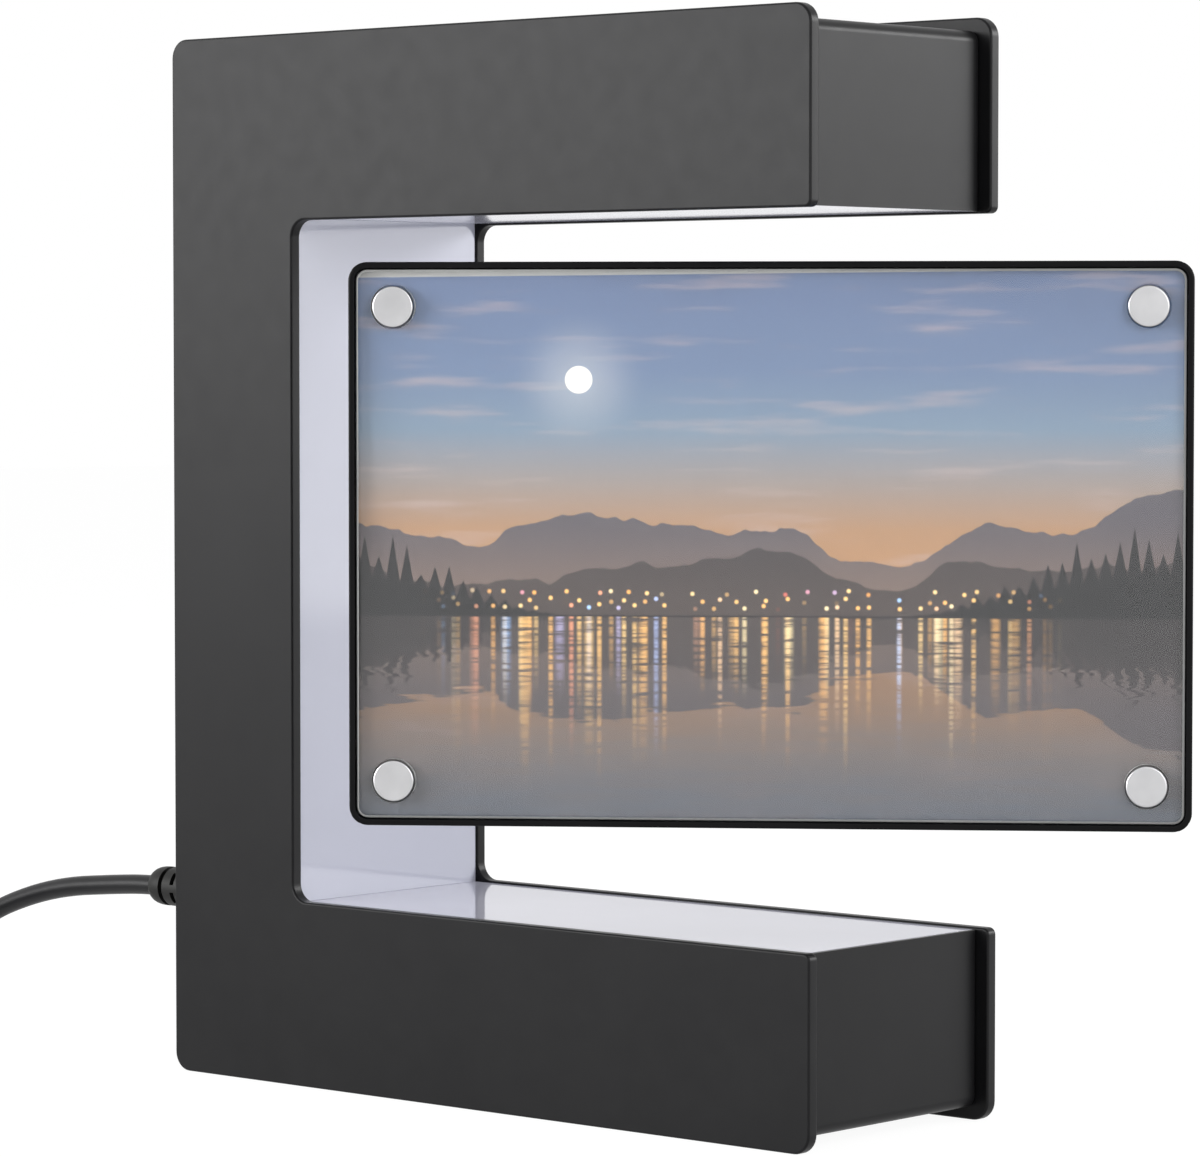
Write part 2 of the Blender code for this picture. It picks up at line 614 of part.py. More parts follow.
def make_electromagnet():
    """Sensor under a wound bobbin on a steel core that hangs from the top wall."""
    sensor_z = UPPER_BACK_Z + FIT
    board_z = sensor_z + SENSOR_HEIGHT + FIT
    bobbin_z = board_z + SENSOR_BOARD_THICKNESS + FIT
    head_top = TOP_WALL_Z - FIT
    head_z = head_top - CORE_HEAD
    bobbin_top = head_z - FIT
    core = CORE_DIAMETER / 2
    bore = core + FIT
    hub = bore + BOBBIN_HUB
    rim = BOBBIN_DIAMETER / 2
    place = (AXIS_X, 0.0, 0.0)
    sensor = block("hall_sensor", (SENSOR_LENGTH, SENSOR_WIDTH, SENSOR_HEIGHT))
    stored("hall_sensor", sensor, BLACK_EPOXY, place=(AXIS_X, 0.0, sensor_z + SENSOR_HEIGHT / 2))
    board = block("sensor_board", (SENSOR_BOARD_SIDE, SENSOR_BOARD_SIDE, SENSOR_BOARD_THICKNESS))
    stored("sensor_board", board, GREEN_BOARD, place=(AXIS_X, 0.0, board_z + SENSOR_BOARD_THICKNESS / 2))
    turned("magnet_core", [
        (0.0, head_top),
        (CORE_HEAD_DIAMETER / 2, head_top),
        (CORE_HEAD_DIAMETER / 2, head_z),
        (core, head_z),
        (core, bobbin_z),
        (0.0, bobbin_z),
    ], STEEL, place=place)
    low = bobbin_z + BOBBIN_FLANGE
    high = bobbin_top - BOBBIN_FLANGE
    turned("magnet_bobbin", [
        (rim, bobbin_top),
        (rim, high),
        (hub, high),
        (hub, low),
        (rim, low),
        (rim, bobbin_z),
        (bore, bobbin_z),
        (bore, bobbin_top),
    ], NYLON, closed=True, place=place)
    turned("magnet_winding", [
        (rim - WINDING_INSET, high - FIT),
        (rim - WINDING_INSET, low + FIT),
        (hub + FIT, low + FIT),
        (hub + FIT, high - FIT),
    ], COPPER, closed=True, place=place)


def board_middle():
    tip_post_x = post_places()[-1][0]
    return (SPINE_X + tip_post_x) / 2


def make_control_board():
    """Board on a foam pad in the lower arm, with its larger components."""
    x = board_middle()
    pad_z = WALL_FROM_EDGE + FIT
    board_z = pad_z + BOARD_PAD_THICKNESS + FIT
    face = board_z + BOARD_THICKNESS + FIT
    pad_size = (BOARD_LENGTH - 2 * BOARD_PAD_MARGIN, BOARD_WIDTH - 2 * BOARD_PAD_MARGIN, BOARD_PAD_THICKNESS)
    stored("board_pad", block("board_pad", pad_size), FOAM, place=(x, 0.0, pad_z + BOARD_PAD_THICKNESS / 2))
    board = block("control_board", (BOARD_LENGTH, BOARD_WIDTH, BOARD_THICKNESS))
    stored("control_board", board, GREEN_BOARD, place=(x, 0.0, board_z + BOARD_THICKNESS / 2))
    chip = block("driver_chip", (CHIP_SIDE, CHIP_SIDE, DRIVER_CHIP_HEIGHT))
    stored("driver_chip", chip, BLACK_EPOXY, place=(x, 0.0, face + DRIVER_CHIP_HEIGHT / 2))
    quarter = BOARD_LENGTH / 4
    side = BOARD_WIDTH / 4
    turned("capacitor", [
        (0.0, face + CAPACITOR_HEIGHT),
        (CAPACITOR_RADIUS - CAPACITOR_EDGE, face + CAPACITOR_HEIGHT),
        (CAPACITOR_RADIUS, face + CAPACITOR_HEIGHT - CAPACITOR_EDGE),
        (CAPACITOR_RADIUS, face),
        (0.0, face),
    ], BLACK_GLOSS, place=(x + quarter, side, 0.0))
    waist = INDUCTOR_RADIUS - 2 * CAPACITOR_EDGE
    turned("inductor", [
        (0.0, face + INDUCTOR_HEIGHT),
        (INDUCTOR_RADIUS, face + INDUCTOR_HEIGHT),
        (INDUCTOR_RADIUS, face + INDUCTOR_HEIGHT * 0.75),
        (waist, face + INDUCTOR_HEIGHT * 0.75),
        (waist, face + INDUCTOR_HEIGHT * 0.25),
        (INDUCTOR_RADIUS, face + INDUCTOR_HEIGHT * 0.25),
        (INDUCTOR_RADIUS, face),
        (0.0, face),
    ], BLACK_EPOXY, place=(x + quarter, -side, 0.0))
    terminal_x = x - (BOARD_LENGTH - TERMINAL_LENGTH) / 2
    terminal_z = face + TERMINAL_HEIGHT / 2
    size = (TERMINAL_LENGTH, TERMINAL_WIDTH, TERMINAL_HEIGHT)
    for name, y in (("coil", TERMINAL_SPREAD), ("power", 0.0), ("light", -TERMINAL_SPREAD)):
        name = f"{name}_terminal"
        stored(name, block(name, size), NYLON, place=(terminal_x, y, terminal_z))
    return (terminal_x - TERMINAL_LENGTH / 2 - FIT, terminal_z)


def make_leads(terminal):
    """Wires inside the stand, from the winding, the cord boot and the light strips to the board."""
    end_x, end_z = terminal
    bend = COIL_LEAD_BEND
    start_x = AXIS_X - BOBBIN_DIAMETER / 2 - FIT
    run_z = (UPPER_BACK_Z + TOP_WALL_Z) / 2
    drop_x = (post_places()[0][0] + POST_RADIUS + PANEL_BACK_X) / 2
    y = COIL_LEAD_SIDE
    coil_route = [
        (start_x, y, run_z),
        ((start_x + drop_x) / 2, y, run_z),
        (drop_x + bend, y, run_z),
        (drop_x + bend / 4, y, run_z - bend / 4),
        (drop_x, y, run_z - bend),
        (drop_x, y, STAND_HEIGHT / 2),
        (drop_x, y, end_z + 2 * bend),
        (drop_x + bend / 4, y, end_z + bend),
        (drop_x + bend, y, end_z + bend / 4),
        (end_x - bend, y, end_z),
        (end_x, y, end_z),
    ]
    tube("coil_lead", smooth_route(coil_route, bend), WIRE_RADIUS, COPPER)
    boot_x = INNER_BACK_X + BOOT_FLANGE + 2 * FIT
    power_route = [
        (boot_x, 0.0, BOOT_HEIGHT),
        (boot_x + bend, 0.0, BOOT_HEIGHT),
        (drop_x, 0.0, (BOOT_HEIGHT + LOWER_BACK_Z) / 2 - bend / 2),
        (drop_x + bend, 0.0, (BOOT_HEIGHT + end_z) / 2),
        (end_x - bend, 0.0, end_z),
        (end_x, 0.0, end_z),
    ]
    tube("power_lead", smooth_route(power_route, bend / 2), WIRE_RADIUS, RUBBER)
    strip_x = PANEL_BACK_X - FIT - CHIP_HEIGHT - STRIP_THICKNESS / 2
    side = -TERMINAL_SPREAD
    middle_z = (LOWER_BACK_Z + end_z) / 2
    light_route = [
        (strip_x, STRIP_Y, LOWER_FACE_Z + STRIP_MARGIN - FIT),
        (strip_x, STRIP_Y, LOWER_FACE_Z),
        (strip_x, (3 * STRIP_Y + side) / 4, middle_z + bend / 2),
        (strip_x + bend, (STRIP_Y + side) / 2, middle_z - bend / 2),
        (end_x - bend, side, end_z),
        (end_x, side, end_z),
    ]
    tube("light_lead", smooth_route(light_route, bend / 2), WIRE_RADIUS, COPPER)


def boot_slots():
    """Boxes that cut the rows of slots in the boot, each row turned half a step."""
    first = BOOT_REACH - BOOT_DOME - BOOT_GROOVE_BACK - BOOT_GROOVE / 2 - BOOT_SLOT_PITCH
    floor = BOOT_RADIUS - BOOT_SLOT_DEPTH
    chord = math.sqrt(BOOT_RADIUS ** 2 - floor ** 2)
    size = (2 * BOOT_SLOT_DEPTH, 2 * chord, BOOT_SLOT)
    boxes = []
    for row in range(BOOT_SLOT_ROWS):
        for slot in range(BOOT_SLOTS_PER_ROW):
            angle = (slot + 0.5 + 0.5 * (row % 2)) * 2 * math.pi / BOOT_SLOTS_PER_ROW
            spin = Matrix.Rotation(angle, 4, "Z")
            out = Matrix.Translation((floor + BOOT_SLOT_DEPTH, 0.0, first - row * BOOT_SLOT_PITCH))
            boxes.append((size, spin @ out))
    return blocks("boot_slots", boxes)


def make_cord_boot():
    """Slotted rubber boot that holds the cord in the back wall."""
    shoulder = BOOT_REACH - BOOT_DOME
    groove_top = shoulder - BOOT_GROOVE_BACK
    groove_low = groove_top - BOOT_GROOVE
    groove_floor = BOOT_RADIUS - BOOT_GROOVE_DEPTH
    tail = CORD_DIAMETER / 2 + BOOT_TAIL_WALL
    rise = BOOT_RADIUS - tail
    inside = -BAND_WALL - FIT
    place = (BAND_BACK_X, 0.0, BOOT_HEIGHT)
    boot = turned("cord_boot", [
        (0.0, BOOT_REACH),
        (tail, BOOT_REACH),
        (tail + 0.25 * rise, BOOT_REACH - 0.22 * BOOT_DOME),
        (tail + 0.65 * rise, BOOT_REACH - 0.52 * BOOT_DOME),
        (tail + 0.90 * rise, BOOT_REACH - 0.78 * BOOT_DOME),
        (BOOT_RADIUS, shoulder),
        (BOOT_RADIUS, groove_top),
        (groove_floor, groove_top),
        (groove_floor, groove_low),
        (BOOT_RADIUS, groove_low),
        (BOOT_RADIUS, BOOT_COLLAR),
        (BOOT_COLLAR_RADIUS, BOOT_COLLAR),
        (BOOT_COLLAR_RADIUS, FIT),
        (BOOT_NECK_RADIUS, FIT),
        (BOOT_NECK_RADIUS, inside),
        (BOOT_FLANGE_RADIUS, inside),
        (BOOT_FLANGE_RADIUS, inside - BOOT_FLANGE),
        (0.0, inside - BOOT_FLANGE),
    ], RUBBER, turn=FACING_BACK, place=place)
    boolean(boot, cutter("boot_slots", boot_slots(), FACING_BACK, place), "DIFFERENCE")


def make_picture_axis():
    """Empty on the vertical line that the picture turns about, turned as it rests."""
    axis = bpy.data.objects.new("picture_axis", None)
    axis.location = (AXIS_X, 0.0, PICTURE_Z)
    axis.rotation_euler = (0.0, 0.0, REST_TURN)
    PARTS.objects.link(axis)
    return axis


def make_float_rim(axis):
    """Black rim with a middle web: a pocket on each face, and holes for the magnets."""
    outline = rectangle(PICTURE_WIDTH, PICTURE_HEIGHT, PICTURE_CORNER)
    rim = stored("float_rim", extruded("float_rim", [outline], PICTURE_THICKNESS), BLACK_GLOSS,
                 UPRIGHT, parent=axis)
    soften(rim, RIM_EDGE)
    pocket = rectangle(PICTURE_WIDTH - 2 * RIM_WALL, PICTURE_HEIGHT - 2 * RIM_WALL, PICTURE_CORNER - RIM_WALL)
    depth = PICTURE_THICKNESS / 2 - WEB_HALF + CUT_SPARE
    for name, side in (("front_pocket", -1), ("rear_pocket", 1)):
        place = (0.0, side * (WEB_HALF + depth / 2), 0.0)
        tool = cutter(name, extruded(name, [pocket], depth), UPRIGHT, place, parent=axis)
        boolean(rim, tool, "DIFFERENCE")
    holes = [(DISC_X * side, 0.0, DISC_Z * level) for side, level in CORNERS]
    drill = rods("magnet_holes", holes, CORNER_MAGNET_DIAMETER / 2 + FIT, 2 * (WEB_HALF + CUT_SPARE))
    boolean(rim, cutter("magnet_holes", drill, parent=axis), "DIFFERENCE")
    slot = (LIFT_MAGNET_LENGTH + 2 * FIT, 2 * (WEB_HALF + CUT_SPARE), LIFT_MAGNET_HEIGHT + 2 * FIT)
    tool = cutter("lift_slot", block("lift_slot", slot), place=(0.0, 0.0, lift_magnet_z()), parent=axis)
    boolean(rim, tool, "DIFFERENCE")


def lift_magnet_z():
    return PICTURE_HEIGHT / 2 - RIM_WALL - LIFT_MAGNET_COVER - FIT - LIFT_MAGNET_HEIGHT / 2


def make_magnets(axis):
    size = (LIFT_MAGNET_LENGTH, 2 * WEB_HALF, LIFT_MAGNET_HEIGHT)
    stored("lift_magnet", block("lift_magnet", size), SILVER, place=(0.0, 0.0, lift_magnet_z()), parent=axis)
    radius = CORNER_MAGNET_DIAMETER / 2
    profile = [(0.0, WEB_HALF), (radius, WEB_HALF), (radius, -WEB_HALF), (0.0, -WEB_HALF)]
    for number, (side, level) in enumerate(CORNERS, 1):
        turned(f"corner_magnet_{number}", profile, SILVER, turn=FACING_FRONT,
               place=(DISC_X * side, 0.0, DISC_Z * level), parent=axis)


def make_picture_side(axis, face, side):
    """Print, clear cover and the cover's four corner discs on the front (-1) or the rear (1)."""
    width = PICTURE_WIDTH - 2 * (RIM_WALL + FIT)
    height = PICTURE_HEIGHT - 2 * (RIM_WALL + FIT)
    outline = rectangle(width, height, PICTURE_CORNER - RIM_WALL - FIT)
    name = f"{face}_print"
    y = side * (PRINT_FACE + PRINT_BACK) / 2
    stored(name, extruded(name, [outline], PRINT_THICKNESS), PAPER, UPRIGHT, (0.0, y, 0.0), axis)
    name = f"{face}_cover"
    mesh = extruded(name, [outline], COVER_THICKNESS)
    outer = -side * COVER_THICKNESS / 2
    bevel_where(mesh, lambda place: abs(place.z - outer) < 0.01 * MM, COVER_EDGE, 1)
    y = side * (COVER_FACE + COVER_BACK) / 2
    cover = stored(name, mesh, CLEAR, UPRIGHT, (0.0, y, 0.0), axis)
    holes = [(DISC_X * x, y, DISC_Z * z) for x, z in CORNERS]
    drill = rods(f"{face}_disc_holes", holes, DISC_DIAMETER / 2 + FIT, COVER_THICKNESS + 2 * CUT_SPARE)
    boolean(cover, cutter(f"{face}_disc_holes", drill, parent=axis), "DIFFERENCE")
    radius = DISC_DIAMETER / 2
    profile = [
        (0.0, 0.0),
        (radius - DISC_EDGE, 0.0),
        (radius, -DISC_EDGE),
        (radius, -DISC_THICKNESS),
        (0.0, -DISC_THICKNESS),
    ]
    turn = FACING_FRONT if side < 0 else FACING_REAR
    for number, (x, z) in enumerate(CORNERS, 1):
        turned(f"{face}_disc_{number}", profile, SILVER, turn=turn,
               place=(DISC_X * x, side * (COVER_FACE + DISC_PROUD), DISC_Z * z), parent=axis)


def make_cord():
    """The free cord from the boot down to the floor, and a ring for its coiled length."""
    route = [(BOOT_TAIL_X - out, rear, up) for out, rear, up in CORD_ROUTE]
    tube("power_cord", smooth_route(route, CORD_SPACING), CORD_DIAMETER / 2, RUBBER)
    inner = COIL_RADIUS - COIL_HALF_WIDTH
    outer = COIL_RADIUS + COIL_HALF_WIDTH
    base = CORD_ROUTE[-1][2] - CORD_DIAMETER / 2
    top = base + COIL_HEIGHT
    turned("cord_coil", [
        (outer - COIL_ROUND, top),
        (outer, top - COIL_ROUND),
        (outer, base + COIL_ROUND),
        (outer - COIL_ROUND, base),
        (inner + COIL_ROUND, base),
        (inner, base + COIL_ROUND),
        (inner, top - COIL_ROUND),
        (inner + COIL_ROUND, top),
    ], RUBBER, closed=True, steps=COIL_STEPS, place=(COIL_X, COIL_Y, 0.0))
    return top


def make_plug(rest_z):
    """Flat plug that lies on the coil, along the coil's front."""
    y = COIL_Y - COIL_RADIUS
    z = rest_z + FIT + PLUG_GRIP_HEIGHT / 2
    grip_x = COIL_X - PLUG_TAIL_BACK + PLUG_GRIP_LENGTH / 2
    size = (PLUG_GRIP_LENGTH, PLUG_GRIP_WIDTH, PLUG_GRIP_HEIGHT)
    grip = stored("plug_grip", block("plug_grip", size), RUBBER, place=(grip_x, y, z))
    soften(grip, PLUG_GRIP_EDGE, 2)
    shell_x = grip_x + PLUG_GRIP_LENGTH / 2 + FIT + PLUG_SHELL_LENGTH / 2
    outside = rectangle(PLUG_SHELL_WIDTH, PLUG_SHELL_HEIGHT)
    inside = rectangle(PLUG_SHELL_WIDTH - 2 * PLUG_SHELL_WALL, PLUG_SHELL_HEIGHT - 2 * PLUG_SHELL_WALL)
    along = Matrix.Rotation(math.radians(90.0), 4, "Z") @ UPRIGHT
    shell = extruded("plug_shell", [outside, inside], PLUG_SHELL_LENGTH)
    stored("plug_shell", shell, SILVER, along, (shell_x, y, z))
    tongue_x = shell_x - PLUG_SHELL_LENGTH / 2 + PLUG_TONGUE_LENGTH / 2
    tongue_z = z + PLUG_SHELL_HEIGHT / 2 - PLUG_SHELL_WALL - FIT - PLUG_TONGUE_HEIGHT / 2
    size = (PLUG_TONGUE_LENGTH, PLUG_SHELL_WIDTH - 2 * (PLUG_SHELL_WALL + FIT), PLUG_TONGUE_HEIGHT)
    stored("plug_tongue", block("plug_tongue", size), NYLON, place=(tongue_x, y, tongue_z))


def build():
    make_front_cheek()
    make_rear_cheek()
    make_screws()
    make_core_band()
    make_panels()
    make_light_strips()
    make_electromagnet()
    make_leads(make_control_board())
    make_cord_boot()
    axis = make_picture_axis()
    make_float_rim(axis)
    make_magnets(axis)
    make_picture_side(axis, "front", -1)
    make_picture_side(axis, "rear", 1)
    make_plug(make_cord())


build()
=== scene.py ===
# %% [markdown]
# # A levitating photo frame, dressed for its picture
#
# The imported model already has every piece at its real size. This lesson gives the visible
# pieces finer meshes and every piece a finish, and then lights and frames the object.
# Everything is in metres and in the model's own axes: +X runs along the arms, the front is
# at -Y, and the stand rests on Z = 0.

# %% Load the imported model
import json
import math

import bmesh
import bpy
from mathutils import Matrix, Vector


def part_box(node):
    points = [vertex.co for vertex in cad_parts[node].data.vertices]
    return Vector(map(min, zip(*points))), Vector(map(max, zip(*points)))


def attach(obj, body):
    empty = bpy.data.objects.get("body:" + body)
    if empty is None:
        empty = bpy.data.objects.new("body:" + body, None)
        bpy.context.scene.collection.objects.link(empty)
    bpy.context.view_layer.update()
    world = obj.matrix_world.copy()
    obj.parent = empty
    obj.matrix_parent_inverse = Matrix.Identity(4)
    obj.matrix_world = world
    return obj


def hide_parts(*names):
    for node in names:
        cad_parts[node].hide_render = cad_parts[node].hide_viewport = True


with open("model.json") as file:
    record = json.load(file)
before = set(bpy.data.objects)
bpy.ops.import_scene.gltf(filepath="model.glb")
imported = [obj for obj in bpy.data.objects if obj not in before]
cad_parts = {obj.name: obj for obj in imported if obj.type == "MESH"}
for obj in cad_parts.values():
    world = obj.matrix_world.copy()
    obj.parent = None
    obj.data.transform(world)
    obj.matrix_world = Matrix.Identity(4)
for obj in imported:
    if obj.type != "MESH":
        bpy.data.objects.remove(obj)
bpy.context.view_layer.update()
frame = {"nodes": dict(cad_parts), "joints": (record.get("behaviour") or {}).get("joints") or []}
MM = 0.001

# %% [markdown]
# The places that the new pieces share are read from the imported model, so nothing has to be
# fitted by eye. The picture rests turned about a vertical line. That turn comes from the
# direction in which its front cover pulls off.

# %% Places read from the model
joints = {joint["name"]: joint for joint in frame["joints"]}
spin_at = Vector(joints["picture_spin"]["pos_m"])
front_way = Vector(joints["front_cover_pull"]["axis"])
rest_turn = math.atan2(front_way.x, -front_way.y)
to_picture = Matrix.Translation(spin_at) @ Matrix.Rotation(rest_turn, 4, "Z")

rear_low, rear_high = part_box("rear_cheek")
band_low, band_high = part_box("core_band")
spine_low, spine_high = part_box("spine_panel")
lower_low, lower_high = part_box("lower_panel")
upper_low, upper_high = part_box("upper_panel")
coil_low, coil_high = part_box("cord_coil")
boot_low, boot_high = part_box("cord_boot")
boot_height = (boot_low.z + boot_high.z) / 2
BACK_X, TIP_X = rear_low.x, rear_high.x
HALF_DEPTH = rear_high.y
STAND_HEIGHT = rear_high.z
CHEEK = rear_high.y - rear_low.y
PANEL_RECESS = 0.4 * MM
SPINE_X = spine_high.x + PANEL_RECESS
ARM_TOP_Z = lower_high.z + PANEL_RECESS
ARM_UNDER_Z = upper_low.z - PANEL_RECESS
print("picture turned", round(math.degrees(rest_turn), 2), "degrees")
print("stand", round(STAND_HEIGHT / MM, 1), "mm tall")

# %% [markdown]
# ## Camera
# The viewpoint was solved from the edges of the stand and of the picture in the photograph:
# a long lens, from the right of the front, a little above the picture's middle but below the
# top of the stand.

# %% Camera
CAMERA_AT = (0.60935, -0.68450, 0.13860)
CAMERA_PITCH = math.radians(87.42)
CAMERA_YAW = math.radians(41.347)
SENSOR_WIDTH = 36.0
FOCAL_LENGTH = 146.64
lens = bpy.data.cameras.new("camera")
lens.sensor_width = SENSOR_WIDTH
lens.lens = FOCAL_LENGTH
camera = bpy.data.objects.new("camera", lens)
camera.location = CAMERA_AT
camera.rotation_euler = (CAMERA_PITCH, 0.0, CAMERA_YAW)
bpy.context.scene.collection.objects.link(camera)
bpy.context.scene.camera = camera
print("lens", FOCAL_LENGTH, "mm")

# %% [markdown]
# ## Cord
# The cord leaves the boot in the spine's back wall almost level and bends down to the table. A
# cord is best made as a curve with a round bevel, because it then has one smooth line whose
# length can be measured. The visible length follows a row of knots, and a smooth line is laid
# through them.

# %% Route of the free cord
CORD_DIAMETER = 4.0 * MM
POINTS_PER_KNOT = 3
# Each knot: how far out from the boot's tail, how far to the rear, and how high
CORD_ROUTE = (
    (0.0000, 0.0000, 0.03145),
    (0.0050, 0.0000, 0.0313),
    (0.0101, 0.0000, 0.03095),
    (0.0173, 0.0000, 0.0303),
    (0.0247, 0.0000, 0.0295),
    (0.0325, 0.0000, 0.0281),
    (0.0403, 0.0000, 0.0260),
    (0.0481, 0.0000, 0.0232),
    (0.0561, 0.0003, 0.0194),
    (0.0641, 0.0008, 0.0148),
    (0.0721, 0.0014, 0.0100),
    (0.0801, 0.0019, 0.0060),
    (0.0881, 0.0022, 0.0034),
    (0.0925, 0.0023, 0.0026),
    (0.0961, 0.0023, 0.0023),
)
free_points = [Vector((boot_low.x - out, rear, up)) for out, rear, up in CORD_ROUTE]


def smooth_line(knots, steps):
    """Points of a smooth curve that passes through all the knots."""
    ends = [2 * knots[0] - knots[1]] + knots + [2 * knots[-1] - knots[-2]]
    line = [knots[0]]
    for before, here, there, after in zip(ends, ends[1:], ends[2:], ends[3:]):
        for step in range(1, steps + 1):
            t = step / steps
            line.append(0.5 * (2 * here + (there - before) * t
                               + (2 * before - 5 * here + 4 * there - after) * t ** 2
                               + (3 * here - before - 3 * there + after) * t ** 3))
    return line


free_line = smooth_line(free_points, POINTS_PER_KNOT)
print(len(free_line), "points from the boot to the coil")

# %% [markdown]
# The length that the photograph doesn't show is wound in a flat coil of three layers: in along
# the table, out on top of those turns, and in again until the plug. A loop works out the
# turns from a short table. The quarter turns that climb from layer to layer are eased at both
# ends, so that the cord never kinks.

# %% Turns of the coil
coil_middle = Vector(((coil_low.x + coil_high.x) / 2, (coil_low.y + coil_high.y) / 2, 0.0))
TURN_PITCH = 4.05 * MM
LAYER_PITCH = 4.03 * MM
OUTER_TURN = 27.8 * MM
LAYER_TURNS = 2.5
INNER_TURN = OUTER_TURN - LAYER_TURNS * TURN_PITCH
FLOOR_LAYER = 2.3 * MM
LAST_TURNS = 1.75
CLIMB_TURNS = 0.25
POINTS_PER_TURN = 40
start_turn = free_points[-1].y - coil_middle.y
start_height = free_points[-1].z
second_layer = FLOOR_LAYER + LAYER_PITCH
third_layer = second_layer + LAYER_PITCH
last_turn = OUTER_TURN - LAST_TURNS * TURN_PITCH

# Each stretch: turns, radius at its start and end, height at its start and end
COIL_STRETCHES = (
    (CLIMB_TURNS, start_turn, OUTER_TURN, start_height, FLOOR_LAYER),
    (LAYER_TURNS, OUTER_TURN, INNER_TURN, FLOOR_LAYER, FLOOR_LAYER),
    (CLIMB_TURNS, INNER_TURN, INNER_TURN, FLOOR_LAYER, second_layer),
    (LAYER_TURNS, INNER_TURN, OUTER_TURN, second_layer, second_layer),
    (CLIMB_TURNS, OUTER_TURN, OUTER_TURN, second_layer, third_layer),
    (LAST_TURNS, OUTER_TURN, last_turn, third_layer, third_layer),
)


def eased(share):
    """A share from 0 to 1 that starts and ends gently."""
    return share * share * (3 - 2 * share)


def coil_line():
    """Points of the coil's turns, wound anticlockwise from its rearmost point."""
    points = []
    angle = math.pi / 2
    for turns, radius, end_radius, height, end_height in COIL_STRETCHES:
        steps = round(turns * POINTS_PER_TURN)
        for step in range(1, steps + 1):
            share = step / steps
            drift = eased(share) if turns < 1 else share
            r = radius + (end_radius - radius) * drift
            z = height + (end_height - height) * eased(share)
            turn = angle + 2 * math.pi * turns * share
            points.append(coil_middle + Vector((r * math.cos(turn), r * math.sin(turn), z)))
        angle += 2 * math.pi * turns
    return points


coil_points = coil_line()
print(len(coil_points), "points in the coil")

# %% [markdown]
# The last fifth of a turn lifts off the coil and runs straight into the plug, which lies on
# top of the turns.

# %% Lead-in to the plug
grip_low, grip_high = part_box("plug_grip")
plug_tail = Vector((grip_low.x, (grip_low.y + grip_high.y) / 2, (grip_low.z + grip_high.z) / 2))
LIFT_POINTS = 8
lead_in = coil_points[-LIFT_POINTS:]
for number, point in enumerate(lead_in):
    lift = eased(number / (LIFT_POINTS - 1))
    point.z += (plug_tail.z - third_layer) * lift
    point.y += (plug_tail.y - (coil_middle.y - last_turn)) * lift
lead_in = [point for point in lead_in if point.x < plug_tail.x]
cord_line = free_line + coil_points[:-LIFT_POINTS] + lead_in + [plug_tail]
cord_length = sum((b - a).length for a, b in zip(cord_line, cord_line[1:]))
print("cord", round(cord_length, 3), "m long")

# %% [markdown]
# One curve carries the whole line. Its bevel is a circle, and each point sets the radius
# there, so the cord stays round and keeps one thickness. It rides on the stand, because the
# boot holds its end.

# %% The cord itself
def round_cord(name, line, diameter):
    curve = bpy.data.curves.new(name, "CURVE")
    curve.dimensions = "3D"
    curve.bevel_depth = 1.0
    curve.bevel_resolution = 4
    curve.use_fill_caps = True
    spline = curve.splines.new("POLY")
    spline.points.add(len(line) - 1)
    for point, place in zip(spline.points, line):
        point.co = (*place, 1.0)
        point.radius = diameter / 2
    spline.use_smooth = True
    piece = bpy.data.objects.new(name, curve)
    bpy.context.scene.collection.objects.link(piece)
    return piece


cord = round_cord("supply_cord", cord_line, CORD_DIAMETER)
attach(cord, "stand")
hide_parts("power_cord", "cord_coil")
print("cord curve of", len(cord_line), "points")

# %% [markdown]
# ## Floor and light
# The object stands on a pale floor in an even white room. Where the camera sees it, most of the
# floor's tone is a white glow of its own, so that it meets the white of the room. The rest is
# matt, and keeps the soft shadow under the stand.

# %% Floor
FLOOR_SIZE = 8.0
FLOOR_COLOUR = (0.80, 0.80, 0.80, 1.0)
FLOOR_ROUGHNESS = 0.9
FLOOR_WHITE = 0.85
FLOOR_MIRRORED = 0.65
FLOOR_GLOW = 1.10


def feed(tree, socket, value):
    """Give a socket a link or a plain value."""
    if isinstance(value, bpy.types.NodeSocket):
        tree.links.new(value, socket)
    else:
        socket.default_value = value


def calc(tree, operation, *values):
    """A sum on links and plain numbers."""
    made = tree.nodes.new("ShaderNodeMath")
    made.operation = operation
    for socket, value in zip(made.inputs, values):
        feed(tree, socket, value)
    return made.outputs[0]


def light_paths(tree):
    """Two switches: rays seen straight or through glass, and rays seen in a gloss."""
    path = tree.nodes.new("ShaderNodeLightPath").outputs
    return calc(tree, "MAXIMUM", path["Is Camera Ray"], path["Is Transmission Ray"]), path["Is Glossy Ray"]


bpy.ops.object.select_all(action="DESELECT")
bpy.ops.mesh.primitive_plane_add(size=FLOOR_SIZE, location=(0.0, 0.0, 0.0))
floor = bpy.context.active_object
floor.name = "floor"
floor_finish = bpy.data.materials.new("pale floor")
floor_finish.use_nodes = True
tree = floor_finish.node_tree
matt = tree.nodes["Principled BSDF"]
matt.inputs["Base Color"].default_value = FLOOR_COLOUR
matt.inputs["Roughness"].default_value = FLOOR_ROUGHNESS
glow = tree.nodes.new("ShaderNodeEmission")
glow.inputs["Strength"].default_value = FLOOR_GLOW
straight, mirrored = light_paths(tree)
share = calc(tree, "MAXIMUM", calc(tree, "MULTIPLY", straight, FLOOR_WHITE),
             calc(tree, "MULTIPLY", mirrored, FLOOR_MIRRORED))
mix = tree.nodes.new("ShaderNodeMixShader")
tree.links.new(share, mix.inputs["Fac"])
tree.links.new(matt.outputs[0], mix.inputs[1])
